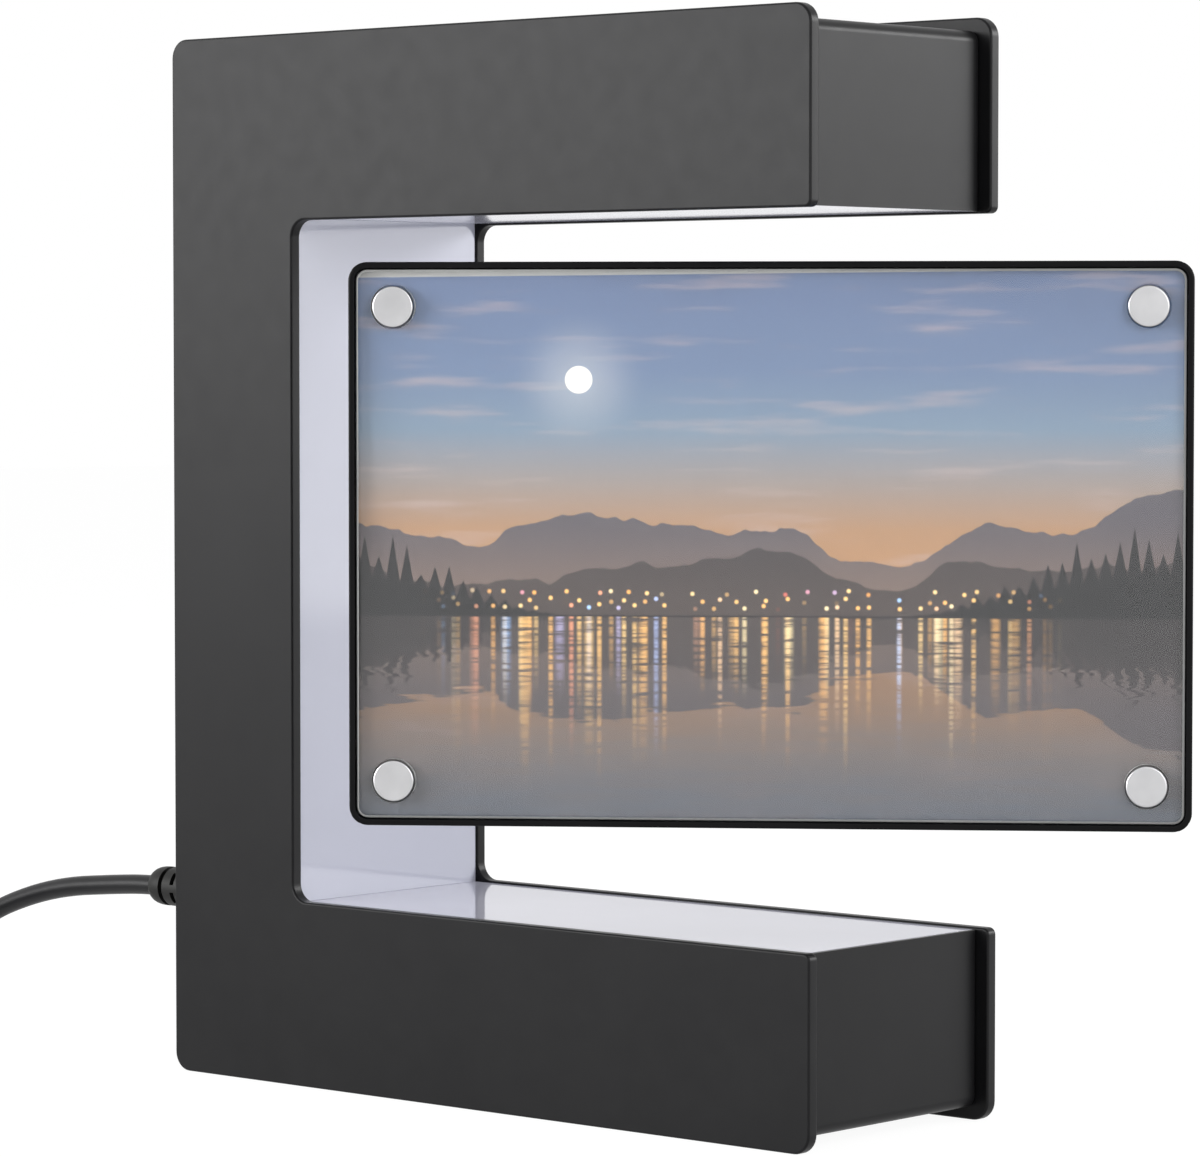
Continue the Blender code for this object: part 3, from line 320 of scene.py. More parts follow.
tree.links.new(glow.outputs[0], mix.inputs[2])
tree.links.new(mix.outputs[0], tree.nodes["Material Output"].inputs["Surface"])
floor.data.materials.append(floor_finish)
print("floor", FLOOR_SIZE, "m wide")

# %% [markdown]
# The room is white wherever it is seen, straight or in a gloss, and gives a dimmer even light
# to everything else. Four soft lamps model the form: a broad one at the front left for the
# gradient on the cheek, two at the rear right for the arm ends and the spine panel, and a
# weak one at the front right for the picture.

# %% Room light
ROOM_LIGHT = 0.40
# Each lamp: name, place, what it aims at, width and height, and power in watts
LAMPS = (
    ("front left lamp", (-0.66, -1.16, 0.40), (0.0, -0.02, 0.18), (1.3, 0.6), 21.0),
    ("rear right lamp", (0.92, 1.08, 0.60), (0.08, 0.0, 0.18), (0.6, 0.4), 9.0),
    ("rear right fill", (0.98, 0.95, 0.31), (0.0, 0.0, 0.12), (1.4, 0.6), 7.5),
    ("front right lamp", (1.20, -0.48, 0.45), (0.0, 0.0, 0.10), (0.6, 0.6), 4.5),
)
world = bpy.data.worlds.new("white room")
bpy.context.scene.world = world
world.use_nodes = True
tree = world.node_tree
sky = tree.nodes["Background"]
sky.inputs["Color"].default_value = (1.0, 1.0, 1.0, 1.0)
level = tree.nodes.new("ShaderNodeMapRange")
level.inputs["To Min"].default_value = ROOM_LIGHT
level.inputs["To Max"].default_value = 1.0
tree.links.new(calc(tree, "MAXIMUM", *light_paths(tree)), level.inputs["Value"])
tree.links.new(level.outputs["Result"], sky.inputs["Strength"])


def soft_lamp(name, place, aim, size, power):
    lamp = bpy.data.lights.new(name, "AREA")
    lamp.shape = "RECTANGLE"
    lamp.size, lamp.size_y = size
    lamp.energy = power
    holder = bpy.data.objects.new(name, lamp)
    holder.location = place
    holder.rotation_euler = (Vector(aim) - Vector(place)).to_track_quat("-Z", "Y").to_euler()
    bpy.context.scene.collection.objects.link(holder)


for lamp in LAMPS:
    soft_lamp(*lamp)
bpy.context.scene.view_settings.view_transform = "Standard"
print("white room with", len(LAMPS), "lamps")

# %% [markdown]
# ## Modelling by hand
# Each new piece starts from a primitive and is shaped in edit mode. These helpers add a
# primitive on its own. An operator acts on all that is selected, so everything is deselected
# first.

# %% Helpers to start a piece
def start(name, add, **sizes):
    """Add a primitive on its own, with its size and place in its mesh."""
    bpy.ops.object.select_all(action="DESELECT")
    add(**sizes)
    piece = bpy.context.active_object
    piece.name = name
    piece.data.name = name
    bpy.ops.object.transform_apply(location=True, rotation=True, scale=True)
    return piece


def block(name, low, high):
    """A box between two corners."""
    low = Vector(low)
    high = Vector(high)
    return start(name, bpy.ops.mesh.primitive_cube_add, size=1.0,
                 location=(low + high) / 2, scale=high - low)


def bar(name, first, last, radius, sides=48):
    """A round bar between two points."""
    run = Vector(last) - Vector(first)
    return start(name, bpy.ops.mesh.primitive_cylinder_add,
                 vertices=sides, radius=radius, depth=run.length,
                 location=Vector(first) + run / 2, rotation=run.to_track_quat("Z", "Y").to_euler())


print("blocks and bars can be added")

# %% [markdown]
# In edit mode, vertices, edges and faces are picked by a test on their place or normal, where
# a hand would click. Two of the tests come back for many pieces: the edges round a flat face,
# and the sharp edges that run along an axis.

# %% Helpers for edit mode
def pick(piece, kind, test):
    """Enter edit mode with only the vertices, edges or faces that pass the test selected."""
    bpy.context.view_layer.objects.active = piece
    bpy.ops.object.mode_set(mode="EDIT")
    bpy.ops.mesh.select_mode(type=kind)
    bpy.ops.mesh.select_all(action="DESELECT")
    shape = bmesh.from_edit_mesh(piece.data)
    parts = {"VERT": shape.verts, "EDGE": shape.edges, "FACE": shape.faces}[kind]
    chosen = [part for part in parts if test(part)]
    for part in chosen:
        part.select_set(True)
    bmesh.update_edit_mesh(piece.data)
    return len(chosen)


def leave(piece):
    """Back to object mode with only this piece selected."""
    bpy.context.view_layer.objects.active = piece
    bpy.ops.object.mode_set(mode="OBJECT")
    bpy.ops.object.select_all(action="DESELECT")
    piece.select_set(True)


def middle(part):
    """The middle of an edge or a face."""
    return sum((vert.co for vert in part.verts), Vector()) / len(part.verts)


def extrude(way):
    bpy.ops.mesh.extrude_region_move(TRANSFORM_OT_translate={"value": tuple(way)})


def slice_at(piece, place, normal):
    pick(piece, "FACE", lambda face: True)
    bpy.ops.mesh.bisect(plane_co=place, plane_no=normal)


def round_edges(piece, radius, segments, test):
    """Bevel the edges that pass the test."""
    count = pick(piece, "EDGE", test)
    bpy.ops.mesh.bevel(offset=radius, segments=segments, affect="EDGES")
    leave(piece)
    return count


def meets_face(axis, sign=0):
    """Test for the edges between a face square to an axis and a face along that axis."""
    def test(edge):
        normals = [face.normal[axis] for face in edge.link_faces]
        square = [value for value in normals if abs(value) > 0.99 and value * sign >= 0]
        return len(square) == 1 and min(abs(value) for value in normals) < 0.9
    return test


def along(axis):
    """Test for the sharp edges that run along an axis."""
    def test(edge):
        run = (edge.verts[0].co - edge.verts[1].co).normalized()
        return abs(run[axis]) > 0.99 and edge.calc_face_angle(0.0) > math.radians(60.0)
    return test


print("parts of a mesh can be picked")

# %% [markdown]
# A piece is closed with a few more steps: cuts with other pieces, smooth shading that keeps
# the flat faces flat, its place in the object, and the node that it stands for.

# %% Helpers to finish a piece
def cut(piece, tool, operation="DIFFERENCE"):
    """Cut one piece with another, or join the two, and throw the tool away."""
    leave(piece)
    modifier = piece.modifiers.new("cut", "BOOLEAN")
    modifier.operation = operation
    modifier.object = tool
    bpy.ops.object.modifier_apply(modifier=modifier.name)
    bpy.data.objects.remove(tool, do_unlink=True)


def polish(piece, angle=40.0):
    """Smooth shading up to an angle, weighted so that large faces stay flat."""
    leave(piece)
    bpy.ops.object.shade_smooth_by_angle(angle=math.radians(angle))
    modifier = piece.modifiers.new("flat faces", "WEIGHTED_NORMAL")
    modifier.keep_sharp = True
    bpy.ops.object.modifier_apply(modifier=modifier.name)


def settle(piece, matrix):
    """Move a piece that was made at the origin to its place, in its mesh."""
    piece.matrix_world = matrix
    leave(piece)
    bpy.ops.object.transform_apply(location=True, rotation=True, scale=True)


def dress(piece, body, node, material):
    """A piece stands for a node, rides on its body and wears a finish."""
    piece.data.materials.clear()
    piece.data.materials.append(material)
    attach(piece, body)
    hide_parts(node)


def second_finish(piece, material, test):
    """Give the faces that pass the test a finish of their own."""
    piece.data.materials.append(material)
    for polygon in piece.data.polygons:
        polygon.material_index = int(test(polygon))


print("pieces can be cut, polished and dressed")

# %% [markdown]
# ## Finishes
# Every finish is worked out by nodes from the piece's own coordinates. A real moulded or
# plated surface is never one flat value, so each one has a faint mottle in its colour, a
# little change in its roughness and a grain at its true scale.

# %% Helpers for finishes
def new_finish(name):
    material = bpy.data.materials.new(name)
    material.use_nodes = True
    return material, material.node_tree, material.node_tree.nodes["Principled BSDF"]


def node(tree, kind, **inputs):
    """Add a node. Each named input, with _ for a space, takes a number or a link."""
    made = tree.nodes.new(kind)
    for name, value in inputs.items():
        feed(tree, made.inputs[name.replace("_", " ")], value)
    return made


def ramp(tree, factor, *stops):
    """Colour ramp through (place, colour) stops."""
    made = tree.nodes.new("ShaderNodeValToRGB")
    while len(made.color_ramp.elements) < len(stops):
        made.color_ramp.elements.new(0.5)
    for element, (place, colour) in zip(made.color_ramp.elements, stops):
        element.position = place
        element.color = (*colour, 1.0)
    feed(tree, made.inputs["Fac"], factor)
    return made.outputs["Color"]


def spread(tree, value, low, high):
    """Map a 0 to 1 value to a range."""
    return node(tree, "ShaderNodeMapRange", Value=value, To_Min=low, To_Max=high).outputs["Result"]


def noise(tree, place, scale, detail=2.0):
    return node(tree, "ShaderNodeTexNoise", Vector=place, Scale=scale, Detail=detail).outputs["Fac"]


def surface_place(tree):
    return tree.nodes.new("ShaderNodeTexCoord").outputs["Object"]


def grain_bump(tree, shader, height, strength, distance):
    bump = node(tree, "ShaderNodeBump", Height=height, Strength=strength, Distance=distance)
    tree.links.new(bump.outputs["Normal"], shader.inputs["Normal"])


print("nodes for the finishes ready")

# %% [markdown]
# Two families of finish cover most of the object. A moulded surface has the fine grain that
# its mould was sparked with, which breaks up its sheen. A plated one is metal with an even
# blast. Each finish is then one call with its darkest and lightest colour.

# %% Moulded and plated finishes
GRAIN_DEPTH = 0.02 * MM
BLAST_DEPTH = 0.01 * MM


def moulded(name, dark, light, rough, grain_scale=1800.0, grain=0.10, specular=0.5):
    """Moulded plastic or rubber: faint cloudy colour, uneven sheen and a fine spark grain."""
    material, tree, shader = new_finish(name)
    place = surface_place(tree)
    cloud = noise(tree, place, scale=45.0, detail=4.0)
    tree.links.new(ramp(tree, cloud, (0.3, dark), (0.7, light)), shader.inputs["Base Color"])
    sheen = noise(tree, place, scale=220.0, detail=3.0)
    tree.links.new(spread(tree, sheen, low=rough - 0.05, high=rough + 0.05), shader.inputs["Roughness"])
    grain_bump(tree, shader, noise(tree, place, grain_scale), strength=grain, distance=GRAIN_DEPTH)
    shader.inputs["Specular IOR Level"].default_value = specular
    return material


def plated(name, dark, light, rough, scale=900.0):
    """Plated metal with a fine even blast."""
    material, tree, shader = new_finish(name)
    place = surface_place(tree)
    cloud = noise(tree, place, scale=160.0, detail=3.0)
    tree.links.new(ramp(tree, cloud, (0.3, dark), (0.7, light)), shader.inputs["Base Color"])
    shader.inputs["Metallic"].default_value = 1.0
    sheen = noise(tree, place, scale)
    tree.links.new(spread(tree, sheen, low=rough - 0.06, high=rough + 0.06), shader.inputs["Roughness"])
    grain_bump(tree, shader, noise(tree, place, 2.0 * scale), strength=0.08, distance=BLAST_DEPTH)
    return material


stand_plastic = moulded("satin black stand", (0.0070, 0.0070, 0.0077), (0.0090, 0.0090, 0.0097),
                        rough=0.36, specular=0.14)
rim_plastic = moulded("black picture rim", (0.003, 0.003, 0.0035), (0.0045, 0.0045, 0.005),
                      rough=0.30, grain=0.05, specular=0.1)
cord_rubber = moulded("black cord jacket", (0.006, 0.006, 0.007), (0.009, 0.009, 0.010),
                      rough=0.40, grain=0.06, specular=0.22)
boot_rubber = moulded("dark boot rubber", (0.010, 0.010, 0.0096), (0.014, 0.014, 0.0133),
                      rough=0.50, grain=0.12, specular=0.22)
nickel = plated("satin nickel discs", (0.52, 0.52, 0.53), (0.59, 0.59, 0.60), rough=0.34)
zinc = plated("zinc screws", (0.46, 0.47, 0.48), (0.58, 0.58, 0.58), rough=0.36)
cord.data.materials.append(cord_rubber)
print("four moulded and two plated finishes made")

# %% [markdown]
# The window is lined with opal panels that spread the light of the strips behind them. They are polished, so
# they mirror each other softly along their edges. A faint glow of their own stands partly for the strips'
# light and is partly painted light that lifts the shade in the corners. The arms' panels are a greyer copy of
# the same opal, a painted shade that tones down the light the lower panel catches from above, and they have
# less gloss.

# %% Opal panels finish
# Painted glow: an emission that stands partly for the strips' light and partly lifts the shade in the corners
PAINTED_PANEL_GLOW = 0.10
PAINTED_GLOW_COLOUR = (0.83, 0.85, 1.0, 1.0)
PANEL_RIPPLE = 0.05 * MM


def opal_gloss(name, dark, light, specular):
    """Polished opal with a faint ripple, which softens what it mirrors."""
    material, tree, shader = new_finish(name)
    place = surface_place(tree)
    cloud = noise(tree, place, scale=18.0, detail=3.0)
    tree.links.new(ramp(tree, cloud, (0.25, dark), (0.75, light)), shader.inputs["Base Color"])
    polish_marks = noise(tree, place, scale=90.0)
    tree.links.new(spread(tree, polish_marks, low=0.05, high=0.10), shader.inputs["Roughness"])
    ripple = noise(tree, place, scale=60.0, detail=1.0)
    grain_bump(tree, shader, ripple, strength=0.02, distance=PANEL_RIPPLE)
    shader.inputs["Specular IOR Level"].default_value = specular
    # Painted glow in a pale lavender tint, which lifts the shade in the corners
    shader.inputs["Emission Color"].default_value = PAINTED_GLOW_COLOUR
    shader.inputs["Emission Strength"].default_value = PAINTED_PANEL_GLOW
    return material


opal = opal_gloss("polished opal panel", (0.42, 0.43, 0.505), (0.46, 0.47, 0.545), specular=0.5)
# The arms' opal is a greyer copy of the spine's: painted shade that tones down the light the lower panel
# catches from above
arm_opal_painted_shade = opal_gloss("polished opal arm panel with painted shade", (0.385, 0.38, 0.44), (0.42, 0.415, 0.475), specular=0.19)
print("opal glows at", PAINTED_PANEL_GLOW)

# %% [markdown]
# ## Cheeks
# The stand's two cheeks are flat C plates with rounded corners and a softly broken edge.
# One box is the spine. Two cuts mark where the arms leave it, and its two end faces are
# pulled out into the arms, so the plate stays one clean piece.

# %% Cheeks
CHEEK_CORNER = 3.6 * MM
WINDOW_CORNER = 3.4 * MM
ARM_TIP_CORNER = 1.3 * MM
CHEEK_EDGE = 0.45 * MM


def in_arms(height):
    return height < ARM_TOP_Z or height > ARM_UNDER_Z


def c_plate(name, front, rear):
    """A C plate between two depths."""
    plate = block(name, (BACK_X, front, 0.0), (SPINE_X, rear, STAND_HEIGHT))
    slice_at(plate, (0.0, 0.0, ARM_TOP_Z), (0.0, 0.0, 1.0))
    slice_at(plate, (0.0, 0.0, ARM_UNDER_Z), (0.0, 0.0, 1.0))
    pick(plate, "FACE", lambda face: face.normal.x > 0.9 and in_arms(middle(face).z))
    extrude((TIP_X - SPINE_X, 0.0, 0.0))
    leave(plate)

    def outer(edge):
        place = middle(edge)
        return along(1)(edge) and not ARM_TOP_Z - MM < place.z < ARM_UNDER_Z + MM

    def window(edge):
        return along(1)(edge) and abs(middle(edge).x - SPINE_X) < MM

    round_edges(plate, CHEEK_CORNER, segments=8, test=outer)
    round_edges(plate, WINDOW_CORNER, segments=8, test=window)
    round_edges(plate, ARM_TIP_CORNER, segments=5, test=along(1))
    round_edges(plate, CHEEK_EDGE, segments=3, test=meets_face(1))
    return plate


front_cheek = c_plate("front_cheek_plate", -HALF_DEPTH, -HALF_DEPTH + CHEEK)
rear_cheek = c_plate("rear_cheek_plate", HALF_DEPTH - CHEEK, HALF_DEPTH)
print("cheeks:", len(front_cheek.data.polygons), "faces each")

# %% [markdown]
# Six screws hold the cheeks together. Each one sits in a stepped hole of the rear cheek and
# bites into a hollow post on the inside of the front cheek. The holes are cut with round
# bars and their mouths are broken with a fine bevel, and the posts are joined on.

# %% Screw holes and posts
SCREW_COUNT = 6
POST_RADIUS = 3.0 * MM
PILOT_RADIUS = 1.6 * MM
PILOT_DEPTH = 10.0 * MM
HEAD_HOLE_RADIUS = 2.9 * MM
HEAD_HOLE_DEPTH = 1.7 * MM
HOLE_EDGE = 0.15 * MM
POST_ROOT = 0.5 * MM
post_front = -HALF_DEPTH + CHEEK - POST_ROOT
post_rear = band_high.y
screw_boxes = [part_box(f"cheek_screw_{number}") for number in range(1, SCREW_COUNT + 1)]


def bar_at(low, high, front, rear, radius):
    """A bar along the depth on a screw's own line."""
    x = (low.x + high.x) / 2
    z = (low.z + high.z) / 2
    return bar("bar", (x, front, z), (x, rear, z), radius)


for low, high in screw_boxes:
    cut(rear_cheek, bar_at(low, high, HALF_DEPTH - 2 * CHEEK, HALF_DEPTH + CHEEK, PILOT_RADIUS))
    cut(rear_cheek, bar_at(low, high, HALF_DEPTH - HEAD_HOLE_DEPTH, HALF_DEPTH + CHEEK, HEAD_HOLE_RADIUS))
    cut(front_cheek, bar_at(low, high, post_front, post_rear, POST_RADIUS), "UNION")
    cut(front_cheek, bar_at(low, high, post_rear - PILOT_DEPTH, post_rear + CHEEK, PILOT_RADIUS))
mouths = round_edges(rear_cheek, HOLE_EDGE, segments=2, test=meets_face(1, 1))
for cheek, node_name in ((front_cheek, "front_cheek"), (rear_cheek, "rear_cheek")):
    polish(cheek)
    dress(cheek, "stand", node_name, stand_plastic)
print(mouths, "edges broken round the screw holes")

# %% [markdown]
# ## Core band
# Between the cheeks runs one wall, round the back of the C, and it ends in the two arm ends.
# It could be drawn as a profile and extruded, but here it starts as a solid block. The block
# gets its rounded corners and edges while it is still simple, and is then hollowed, opened
# at the window and rebated for the panels. Its flat top is matt: a satin face as long as that
# would mirror a lamp from end to end when it is seen at a low angle.

# %% Core band
BAND_WALL = 3.0 * MM
BAND_CORNER = 2.2 * MM
BAND_EDGE = 0.7 * MM
BAND_REBATE_LIP = 0.9 * MM
PANEL_SEAT = 2.3 * MM
BOOT_NECK_HOLE = 3.7 * MM
SPARE = 2.0 * MM
inner_tip_x = band_high.x - BAND_WALL
lip_x = band_high.x - BAND_REBATE_LIP


def hollow_band():
    """The wall round the C's back, with its window, its rebates and the boot's hole."""
    wall = Vector((BAND_WALL, -SPARE, BAND_WALL))
    band = block("core_band_wall", band_low, band_high)
    round_edges(band, BAND_CORNER, segments=8, test=along(1))
    round_edges(band, BAND_EDGE, segments=4, test=meets_face(1))
    cut(band, block("hollow", band_low + wall, band_high - wall))
    low = Vector((inner_tip_x - SPARE, band_low.y - SPARE, ARM_TOP_Z - PANEL_RECESS))
    high = Vector((band_high.x + SPARE, band_high.y + SPARE, ARM_UNDER_Z + PANEL_RECESS))
    cut(band, block("window", low, high))
    seat = Vector((0.0, 0.0, PANEL_SEAT))
    high.x = lip_x
    cut(band, block("rebate", low - seat, high + seat))
    cut(band, bar("boot_hole", (band_low.x - SPARE, 0.0, boot_height),
                  (band_low.x + BAND_WALL + SPARE, 0.0, boot_height), BOOT_NECK_HOLE))
    polish(band)
    return band


def flat_top(polygon):
    """Test for the flat face on top of the upper arm."""
    return polygon.normal.z > 0.999 and polygon.center.z > ARM_UNDER_Z + BAND_WALL


core_band = hollow_band()
dress(core_band, "stand", "core_band", stand_plastic)
# The matt top's colour is a little lighter than the satin stand's: a painted sheen in place of the gloss it
# gives up
matt_top_painted_sheen = moulded("matt black top with painted sheen", (0.010, 0.010, 0.0107), (0.013, 0.013, 0.0137),
                   rough=0.62, grain=0.2, specular=0.05)
second_finish(core_band, matt_top_painted_sheen, flat_top)
print("core band:", len(core_band.data.polygons), "faces")

# %% [markdown]
# ## Panels
# The three opal panels are polished slabs. Their edges are only just broken and they fill the
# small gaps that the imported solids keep, so that they meet in fine soft lines.

# %% Panels
PANEL_EDGE = 0.06 * MM
PANEL_CLOSE = 0.28 * MM


def panel(name, low, high, material):
    slab = block(name + "_slab", low, high)
    round_edges(slab, PANEL_EDGE, segments=3, test=lambda edge: True)
    polish(slab)
    dress(slab, "stand", name, material)
    return slab


side_gap = Vector((0.0, PANEL_CLOSE, 0.0))
end_gap = Vector((0.0, PANEL_CLOSE, PANEL_CLOSE))
panel("upper_panel", upper_low - side_gap, upper_high + side_gap, arm_opal_painted_shade)
panel("lower_panel", lower_low - side_gap, lower_high + side_gap, arm_opal_painted_shade)
panel("spine_panel", spine_low - end_gap, spine_high + end_gap, opal)
print("three panels meet within", round((spine_low.z - lower_high.z - PANEL_CLOSE) / MM, 2), "mm")

# %% [markdown]
# ## Screws
# A screw with a cross recess is turned from a round bar: its head's top edge is rounded, its
# lower face is drawn in to a shank, and a small cross is sunk in it.

# %% Screws
SCREW_EDGE = 0.35 * MM
SHANK_RADIUS = 1.3 * MM
HEAD_HEIGHT = 1.3 * MM
CROSS_LENGTH = 2.9 * MM
CROSS_WIDTH = 0.7 * MM
CROSS_DEPTH = 0.8 * MM


def cross_screw(name, low, high):
    """A screw that faces the rear between two corners."""
    x = (low.x + high.x) / 2
    z = (low.z + high.z) / 2
    radius = (high.x - low.x) / 2
    screw = bar(name, (x, high.y - HEAD_HEIGHT, z), (x, high.y, z), radius)
    pick(screw, "FACE", lambda face: face.normal.y < -0.9)
    bpy.ops.mesh.inset(thickness=radius - SHANK_RADIUS)
    extrude((0.0, low.y + HEAD_HEIGHT - high.y, 0.0))
    leave(screw)
    round_edges(screw, SCREW_EDGE, segments=4, test=meets_face(1, 1))
    size = Vector((CROSS_LENGTH / 2, CROSS_DEPTH, CROSS_WIDTH / 2))
    middle_of_head = Vector((x, high.y, z))
    for arm in (size, size.zyx):
        cut(screw, block("recess", middle_of_head - arm, middle_of_head + arm))
    polish(screw)
    return screw


for number, (low, high) in enumerate(screw_boxes, 1):
    screw = cross_screw(f"cross_screw_{number}", low, high)
    dress(screw, "stand", f"cheek_screw_{number}", zinc)
print(SCREW_COUNT, "screws")

# %% [markdown]
# ## Picture rim
# The floating picture is a black rim with a web across its middle, and each side of the web
# holds a print under a clear cover. The rim is made flat on to the front, about the origin,
# and only then turned and moved to its place. Its big faces are inset and pushed in to leave
# the thin wall that shows as a black border.

# %% Picture rim
PICTURE_WIDTH = 152.2 * MM
PICTURE_HEIGHT = 102.2 * MM
PICTURE_THICKNESS = 12.0 * MM
PICTURE_CORNER = 3.4 * MM
RIM_WALL = 1.1 * MM
RIM_EDGE = 0.35 * MM
RIM_LIP = 0.15 * MM
WEB_HALF = 2.5 * MM
MAGNET_HOLE = 3.8 * MM
LIFT_SLOT = Vector((24.6, 9.0, 8.6)) * MM
LIFT_SLOT_COVER = 1.0 * MM
DISC_INSET = 8.1 * MM
CORNERS = ((-1, 1), (1, 1), (-1, -1), (1, -1))
picture_half = Vector((PICTURE_WIDTH, PICTURE_THICKNESS, PICTURE_HEIGHT)) / 2
disc_x = picture_half.x - DISC_INSET
disc_z = picture_half.z - DISC_INSET
lift_slot_z = picture_half.z - RIM_WALL - LIFT_SLOT_COVER - LIFT_SLOT.z / 2


def on_y(edge, place):
    """An edge that lies at a given depth."""
    return all(abs(vert.co.y - place) < 0.01 * MM for vert in edge.verts)


def picture_rim():
    """The rim with its web, the magnets' holes and the slot of the lift magnet."""
    rim = block("picture_rim", -picture_half, picture_half)
    round_edges(rim, PICTURE_CORNER, segments=10, test=along(1))
    for side in (-1, 1):
        face_y = side * picture_half.y
        pick(rim, "FACE", lambda face: face.normal.y * side > 0.9)
        bpy.ops.mesh.inset(thickness=RIM_WALL)
        extrude((0.0, side * (WEB_HALF - picture_half.y), 0.0))
        leave(rim)

        def inner(edge):
            reach = max(abs(edge.verts[0].co.x) / picture_half.x, abs(edge.verts[0].co.z) / picture_half.z)
            return on_y(edge, face_y) and meets_face(1)(edge) and reach < 0.995

        round_edges(rim, RIM_LIP, segments=2, test=inner)
        round_edges(rim, RIM_EDGE, segments=4, test=lambda edge: on_y(edge, face_y) and meets_face(1)(edge))
    for side, level in CORNERS:
        hole_at = Vector((side * disc_x, 0.0, level * disc_z))
        through = Vector((0.0, 2 * WEB_HALF, 0.0))
        cut(rim, bar("magnet_hole", hole_at - through, hole_at + through, MAGNET_HOLE))
    slot_at = Vector((0.0, 0.0, lift_slot_z))
    cut(rim, block("lift_slot", slot_at - LIFT_SLOT / 2, slot_at + LIFT_SLOT / 2))
    polish(rim)
    settle(rim, to_picture)
    return rim


rim = picture_rim()
dress(rim, "picture", "float_rim", rim_plastic)
print("picture rim:", len(rim.data.polygons), "faces")

# %% [markdown]
# ## Print
# Each print is a sheet of photo paper. The picture on it is drawn by nodes on the sheet's own
# UV map: a lake among hills at dusk, with a moon, a wooded shore, and village lamps that the
# water draws out into long streaks. The scenery is a function, so that it can be drawn twice,
# once upright and once upside down in the water. The sheet is trimmed a little askew, which
# leaves a wedge of bare paper along its top.

# %% Nodes for the print
def mix_colour(tree, factor, first, second):
    """Blend from the first colour to the second."""
    made = tree.nodes.new("ShaderNodeMix")
    made.data_type = "RGBA"
    feed(tree, made.inputs["Factor"], factor)
    for name, value in (("A", first), ("B", second)):
        socket = [entry for entry in made.inputs if entry.name == name and entry.type == "RGBA"][0]
        feed(tree, socket, value if isinstance(value, bpy.types.NodeSocket) else (*value, 1.0))
    return [entry for entry in made.outputs if entry.type == "RGBA"][0]


def rising(tree, value, low, high):
    """0 below low, 1 above high and smooth between."""
    made = node(tree, "ShaderNodeMapRange", Value=value, From_Min=low, From_Max=high)
    made.interpolation_type = "SMOOTHSTEP"
    return made.outputs["Result"]


def falling(tree, value, low, high):
    """1 below low, 0 above high and smooth between."""
    return calc(tree, "SUBTRACT", 1.0, rising(tree, value, low, high))


def away_from(tree, value, place):
    return calc(tree, "ABSOLUTE", calc(tree, "SUBTRACT", value, place))


def radius_of(tree, across, up):
    squares = [calc(tree, "POWER", value, 2.0) for value in (across, up)]
    return calc(tree, "SQRT", calc(tree, "ADD", *squares))


def stretched(tree, across, up, wide, high):
    """A place for a pattern, with a scale of its own each way."""
    return node(tree, "ShaderNodeCombineXYZ", X=calc(tree, "MULTIPLY", across, wide),
                Y=calc(tree, "MULTIPLY", up, high)).outputs["Vector"]


def wave(tree, place, scale, detail, offset):
    """A smooth random line along one coordinate, from 0 to 1."""
    made = tree.nodes.new("ShaderNodeTexNoise")
    made.noise_dimensions = "1D"
    made.inputs["Detail"].default_value = detail
    made.inputs["Scale"].default_value = scale
    feed(tree, made.inputs["W"], calc(tree, "ADD", place, offset))
    return made.outputs["Fac"]


def chance(tree, cell):
    """A random number for each whole number."""
    made = tree.nodes.new("ShaderNodeTexWhiteNoise")
    made.noise_dimensions = "1D"
    feed(tree, made.inputs["W"], cell)
    return made.outputs["Value"]


print("nodes for the print ready")

# %% [markdown]
# The near shore carries pines, tallest at its two ends, with a clearing for the village. A
# pine is a triangle in a cell of its own, and chance sets its height. All places on the print
# are shares of the sheet's width and height.

# %% Pines on the shore
WATERLINE = 0.37
PINE_CELLS = 58.0
PINE_LEAST = 0.035
PINE_SPREAD = 0.075
BANK_HEIGHT = 0.075
CLEARING_MIDDLE = 0.46
CLEARING_REACH = (0.20, 0.50)
PINE_COLOUR = (0.010, 0.010, 0.011)
EDGE_BLUR = 0.004


def below(tree, up, line):
    """1 below a line and 0 above it."""
    return falling(tree, calc(tree, "SUBTRACT", up, line), 0.0, EDGE_BLUR)


def pines(tree, across):
    """Height of a row of pines that grows towards both ends of the shore."""
    place = calc(tree, "MULTIPLY", across, PINE_CELLS)
    luck = chance(tree, calc(tree, "FLOOR", place))
    from_stem = away_from(tree, calc(tree, "FRACT", place), 0.5)
    taper = calc(tree, "SUBTRACT", 1.0, calc(tree, "MULTIPLY", from_stem, 2.0))
    grove = rising(tree, away_from(tree, across, CLEARING_MIDDLE), *CLEARING_REACH)
    height = calc(tree, "MULTIPLY_ADD", luck, PINE_SPREAD, PINE_LEAST)
    bank = calc(tree, "MULTIPLY", grove, BANK_HEIGHT)
    return calc(tree, "MULTIPLY_ADD", calc(tree, "MULTIPLY", height, taper), grove, bank)


print("pines in", int(PINE_CELLS), "cells")

# %% [markdown]
# The scenery from back to front: the sky's ramp with thin cloud, the moon in its halo, two
# ridges in haze, and the pines.

